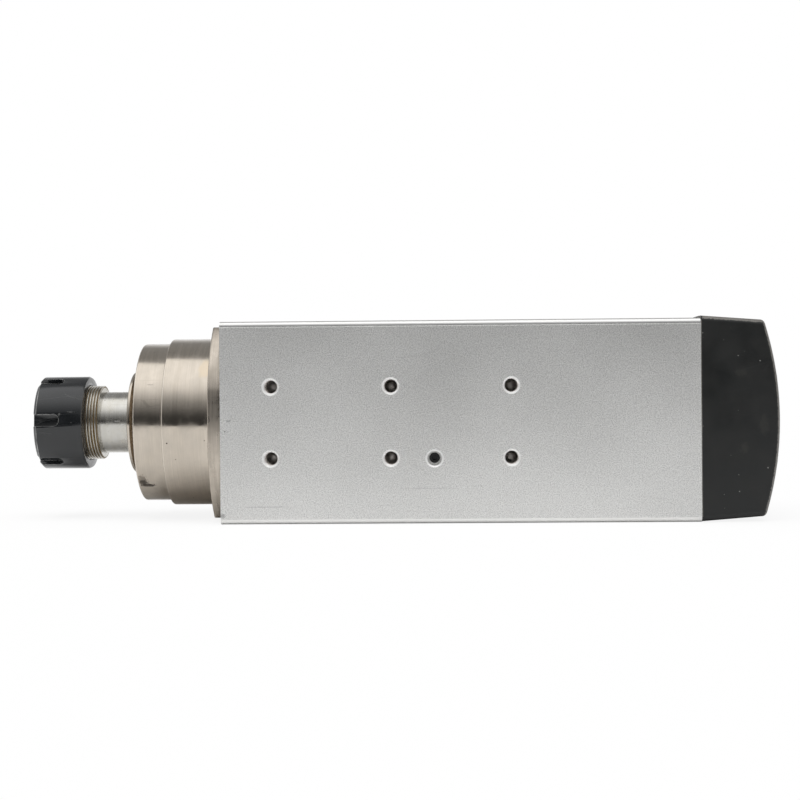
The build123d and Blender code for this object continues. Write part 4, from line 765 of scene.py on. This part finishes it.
# the rounded corners are smoother, and a fine groove runs along the bored face beside the upper one
corner = dict(radius=2.6, faceY=-60.0, edgeZ=51.5, endward=0.1, flat=0.998)
refinish(
    dressed["housing"], finishes["cornerAluminium"],
    lambda centre, normal: abs(normal.x) < corner["endward"] and abs(normal.y) < corner["flat"]
    and abs(normal.z) < corner["flat"] and abs(centre.y) > -corner["faceY"] - corner["radius"]
    and abs(centre.z) > corner["edgeZ"] - corner["radius"],
)
groove = dict(z=48.75, depth=0.4, cutterRadius=1.0, start=104.0, end=349.0)
deselectAll()
bpy.ops.mesh.primitive_cylinder_add(
    vertices=4, radius=groove["cutterRadius"] * mm, depth=(groove["end"] - groove["start"]) * mm,
    rotation=(0, pi / 2, 0),
    location=(
        (groove["start"] + groove["end"]) / 2 * mm,
        (corner["faceY"] - groove["cutterRadius"] + groove["depth"]) * mm,
        groove["z"] * mm,
    ),
)
cutter = bpy.context.object
cutter.name = "grooveCutter"
applyPlace(cutter)
cutFrom(dressed["housing"], cutter)
print("corner groove cut:", len(dressed["housing"].data.polygons), "faces")

# the six mounting holes are tapped M8
tapped = dict(radius=3.4, pitch=1.25, depth=0.58, rootWidth=0.22, proud=0.1, start=-60.6, turns=13, steps=24)
firstCutter = threadCutter(tapped, "Y", -1)
cutters = []
for x, z in mountSpots:
    cutter = firstCutter.copy()
    cutter.data = firstCutter.data.copy()
    bpy.context.collection.objects.link(cutter)
    cutter.location = Vector((x, 0, z)) * mm
    cutters.append(cutter)
bpy.data.objects.remove(firstCutter)
deselectAll()
for cutter in cutters:
    cutter.select_set(True)
bpy.context.view_layer.objects.active = cutters[0]
bpy.ops.object.join()
cutFrom(dressed["housing"], cutters[0])
smoothFaces(dressed["housing"])
refinish(
    dressed["housing"], finishes["boreAluminium"],
    lambda centre, normal: atHole(centre, mountSpots, holes["mouthEnd"], holes["bottom"]),
)
print("holes tapped:", len(dressed["housing"].data.polygons), "faces")

# the slinger is turned like the nose, and its rim falls away at the rear, where its rear faces are darkened
# as painted shade of the gap before the nose
slinger = dict(
    rear=53.4, radius=27.3, nearRear=0.02, nearRim=0.1, chamfer=1.25, edge=0.15,
    bandStart=52.0, bandNormal=0.3,
)
dressed["slinger_ring"].data.materials[0] = finishes["noseSteel"]
selectEdges(
    dressed["slinger_ring"],
    lambda point: abs(point.x - slinger["rear"]) < slinger["nearRear"]
    and point.yz.length > slinger["radius"] - slinger["nearRim"],
)
bpy.ops.mesh.bevel(offset=slinger["chamfer"] * mm, segments=1, affect="EDGES", clamp_overlap=False)
bpy.ops.object.mode_set(mode="OBJECT")
softenEdges(dressed["slinger_ring"], slinger["edge"])
smoothFaces(dressed["slinger_ring"])
# painted shade: the slinger's rear faces take the dark seal steel
refinish(
    dressed["slinger_ring"], finishes["sealSteel"],
    lambda centre, normal: centre.x > slinger["bandStart"] and normal.x > slinger["bandNormal"],
)

# the flange keeps a rougher, darker skin than the turned nose
flange = dict(front=98.2, rear=105.2, radius=46.5)
refinish(
    dressed["front_bearing_housing"], finishes["flangeSteel"],
    lambda centre, normal: flange["front"] < centre.x < flange["rear"]
    and centre.yz.length > flange["radius"],
)

# painted highlight: the cover's rounded rear rim and the upward-facing part of its long top edges take the
# far paler edge plastic
rim = dict(startX=349.0, sideY=55, sideNormal=0.08, rearNormal=0.45, topNormals=(0.5, 0.97))
refinish(
    dressed["rear_cover"], finishes["coverEdge"],
    lambda centre, normal: centre.x > rim["startX"] and abs(centre.y) > rim["sideY"]
    and abs(normal.y) > rim["sideNormal"]
    and (normal.x > rim["rearNormal"] or rim["topNormals"][0] < normal.z < rim["topNormals"][1]),
)

# shaft with its cut thread
thread = dict(radius=20.0, pitch=1.5, depth=0.78, rootWidth=0.30, proud=0.1, start=7.0, turns=19, steps=72)
shaft = dressedCopy("spindle_shaft", "shaftThreaded")
cutFrom(shaft, threadCutter(thread, "X", 1))
smoothFaces(shaft, angle=25)
print("thread cut:", len(shaft.data.polygons), "faces")

# floor: paper white to the camera but for a faint shadow; its front edge shows dark in polished metal
floor = dict(
    size=8.0, centreX=0.2, drop=0.0001, albedo=0.94, shadowShare=0.13, reflectedShare=1.0, frontEdge=-0.60,
    beyondEdge=0.05,
)
deselectAll()
bpy.ops.mesh.primitive_plane_add(size=floor["size"], location=(floor["centreX"], 0, cadLow.z - floor["drop"]))
floorPlane = bpy.context.object
floorPlane.name = "floorPlane"
applyPlace(floorPlane)
floorMaterial = bpy.data.materials.new("paleFloor")
floorMaterial.use_nodes = True
tree = floorMaterial.node_tree
tree.nodes.clear()
matte = placeNode(tree, "ShaderNodeBsdfDiffuse", -200, 100)
matte.inputs["Color"].default_value = (floor["albedo"],) * 3 + (1.0,)
glow = placeNode(tree, "ShaderNodeEmission", -200, -60)
dim = placeNode(tree, "ShaderNodeEmission", 20, -240)
dim.inputs["Strength"].default_value = floor["beyondEdge"]
lightPath = placeNode(tree, "ShaderNodeLightPath", -700, 460)
glossyRay = lightPath.outputs["Is Glossy Ray"]
seenShare = mapRange(tree, -200, 300, glossyRay, 0.0, 1.0, floor["shadowShare"], floor["reflectedShare"])
seenAtAll = anyRay(tree, -500, 600, lightPath, "Is Camera Ray", "Is Glossy Ray", "Is Transmission Ray")
floorPlace = placeNode(tree, "ShaderNodeSeparateXYZ", -500, -300)
tree.links.new(placeNode(tree, "ShaderNodeTexCoord", -700, -300).outputs["Object"], floorPlace.inputs[0])
beyond = mathStep(tree, "LESS_THAN", -300, -300, floorPlace.outputs[1], floor["frontEdge"])
darkReflection = mathStep(tree, "MULTIPLY", -100, -300, beyond, glossyRay)
seenPaper = mixShader(tree, 20, -60, seenShare, glow.outputs[0], matte.outputs[0])
chosen = mixShader(tree, 240, 60, seenAtAll, matte.outputs[0], seenPaper)
edged = mixShader(tree, 440, 60, darkReflection, chosen, dim.outputs[0])
output = placeNode(tree, "ShaderNodeOutputMaterial", 640, 60)
tree.links.new(edged, output.inputs[0])
paint(floorPlane, floorMaterial)
print("floor laid")

# studio: white backdrop, a broad light overhead, a dark room before the object
# brightness that metal sees in each direction round the spindle's axis, by the angle up from the front
studio = dict(
    diffuse=0.45, glossScale=1.5, endBright=0.76, endStart=0.55, endFull=0.85,
    round=((-180, 0.9), (-5.6, 0.9), (-5.2, 0.05), (4, 0.05), (9, 0.07), (16, 0.15), (30, 0.40), (40, 0.72),
           (48, 1.02), (57, 1.28), (68, 1.42), (90, 1.45), (99, 1.36), (103, 0.45), (110, 0.32), (145, 0.32),
           (158, 0.62), (168, 0.95), (180, 0.88)),
)
world = bpy.data.worlds.new("studio")
bpy.context.scene.world = world
world.use_nodes = True
world.cycles.sampling_method = "NONE"
tree = world.node_tree
tree.nodes.clear()
direction = placeNode(tree, "ShaderNodeTexCoord", -1100, 0)
split = placeNode(tree, "ShaderNodeSeparateXYZ", -900, 0)
tree.links.new(direction.outputs["Generated"], split.inputs[0])
towardFront = mathStep(tree, "MULTIPLY", -720, -120, split.outputs[1], -1.0)
angleUp = mathStep(tree, "ARCTAN2", -540, 0, split.outputs[2], towardFront)
ramp = placeNode(tree, "ShaderNodeValToRGB", -180, 0)
tree.links.new(mapRange(tree, -360, 0, angleUp, -pi, pi, 0.0, 1.0), ramp.inputs[0])
stops = ramp.color_ramp.elements
for i, (degreesUp, level) in enumerate(studio["round"]):
    position = degreesUp / 360 + 0.5
    stop = stops[i] if i < 2 else stops.new(position)
    stop.position = position
    stop.color = (*(level / studio["glossScale"],) * 3, 1.0)
endward = mathStep(tree, "ABSOLUTE", -720, 200, split.outputs[0])
endShare = mapRange(tree, -360, 260, endward, studio["endStart"], studio["endFull"], 0.0, 1.0)
endTone = (studio["endBright"] / studio["glossScale"],) * 3
seenByMetal = mixColour(tree, 120, 100, endShare, ramp.outputs[0], endTone)
glossLight = placeNode(tree, "ShaderNodeBackground", 320, 60)
feed(tree, glossLight.inputs["Strength"], studio["glossScale"])
feed(tree, glossLight.inputs["Color"], seenByMetal)
plainLight = placeNode(tree, "ShaderNodeBackground", 320, -100)
feed(tree, plainLight.inputs["Strength"], studio["diffuse"])
backdrop = placeNode(tree, "ShaderNodeBackground", 320, -260)
for light in (plainLight, backdrop):
    feed(tree, light.inputs["Color"], (1.0, 1.0, 1.0))
lightPath = placeNode(tree, "ShaderNodeLightPath", 120, 500)
glossyRay = lightPath.outputs["Is Glossy Ray"]
litMix = mixShader(tree, 560, 0, glossyRay, plainLight.outputs[0], glossLight.outputs[0])
seenDirect = anyRay(tree, 560, 400, lightPath, "Is Camera Ray", "Is Transmission Ray")
finalMix = mixShader(tree, 760, 100, seenDirect, litMix, backdrop.outputs[0])
output = placeNode(tree, "ShaderNodeOutputWorld", 960, 100)
tree.links.new(finalMix, output.inputs[0])

# a soft lamp from above the front makes up the rest of the light on matte surfaces
lamp = dict(elevation=78, softness=55, strength=1.95, place=(0.2, -0.6, 0.9))
bpy.ops.object.light_add(
    type="SUN", rotation=(radians(90 - lamp["elevation"]), 0, 0), location=lamp["place"]
)
softLamp = bpy.context.object
softLamp.data.energy = lamp["strength"]
softLamp.data.angle = radians(lamp["softness"])
softLamp.visible_glossy = False
bpy.context.scene.view_settings.view_transform = "Standard"
print("studio lit")
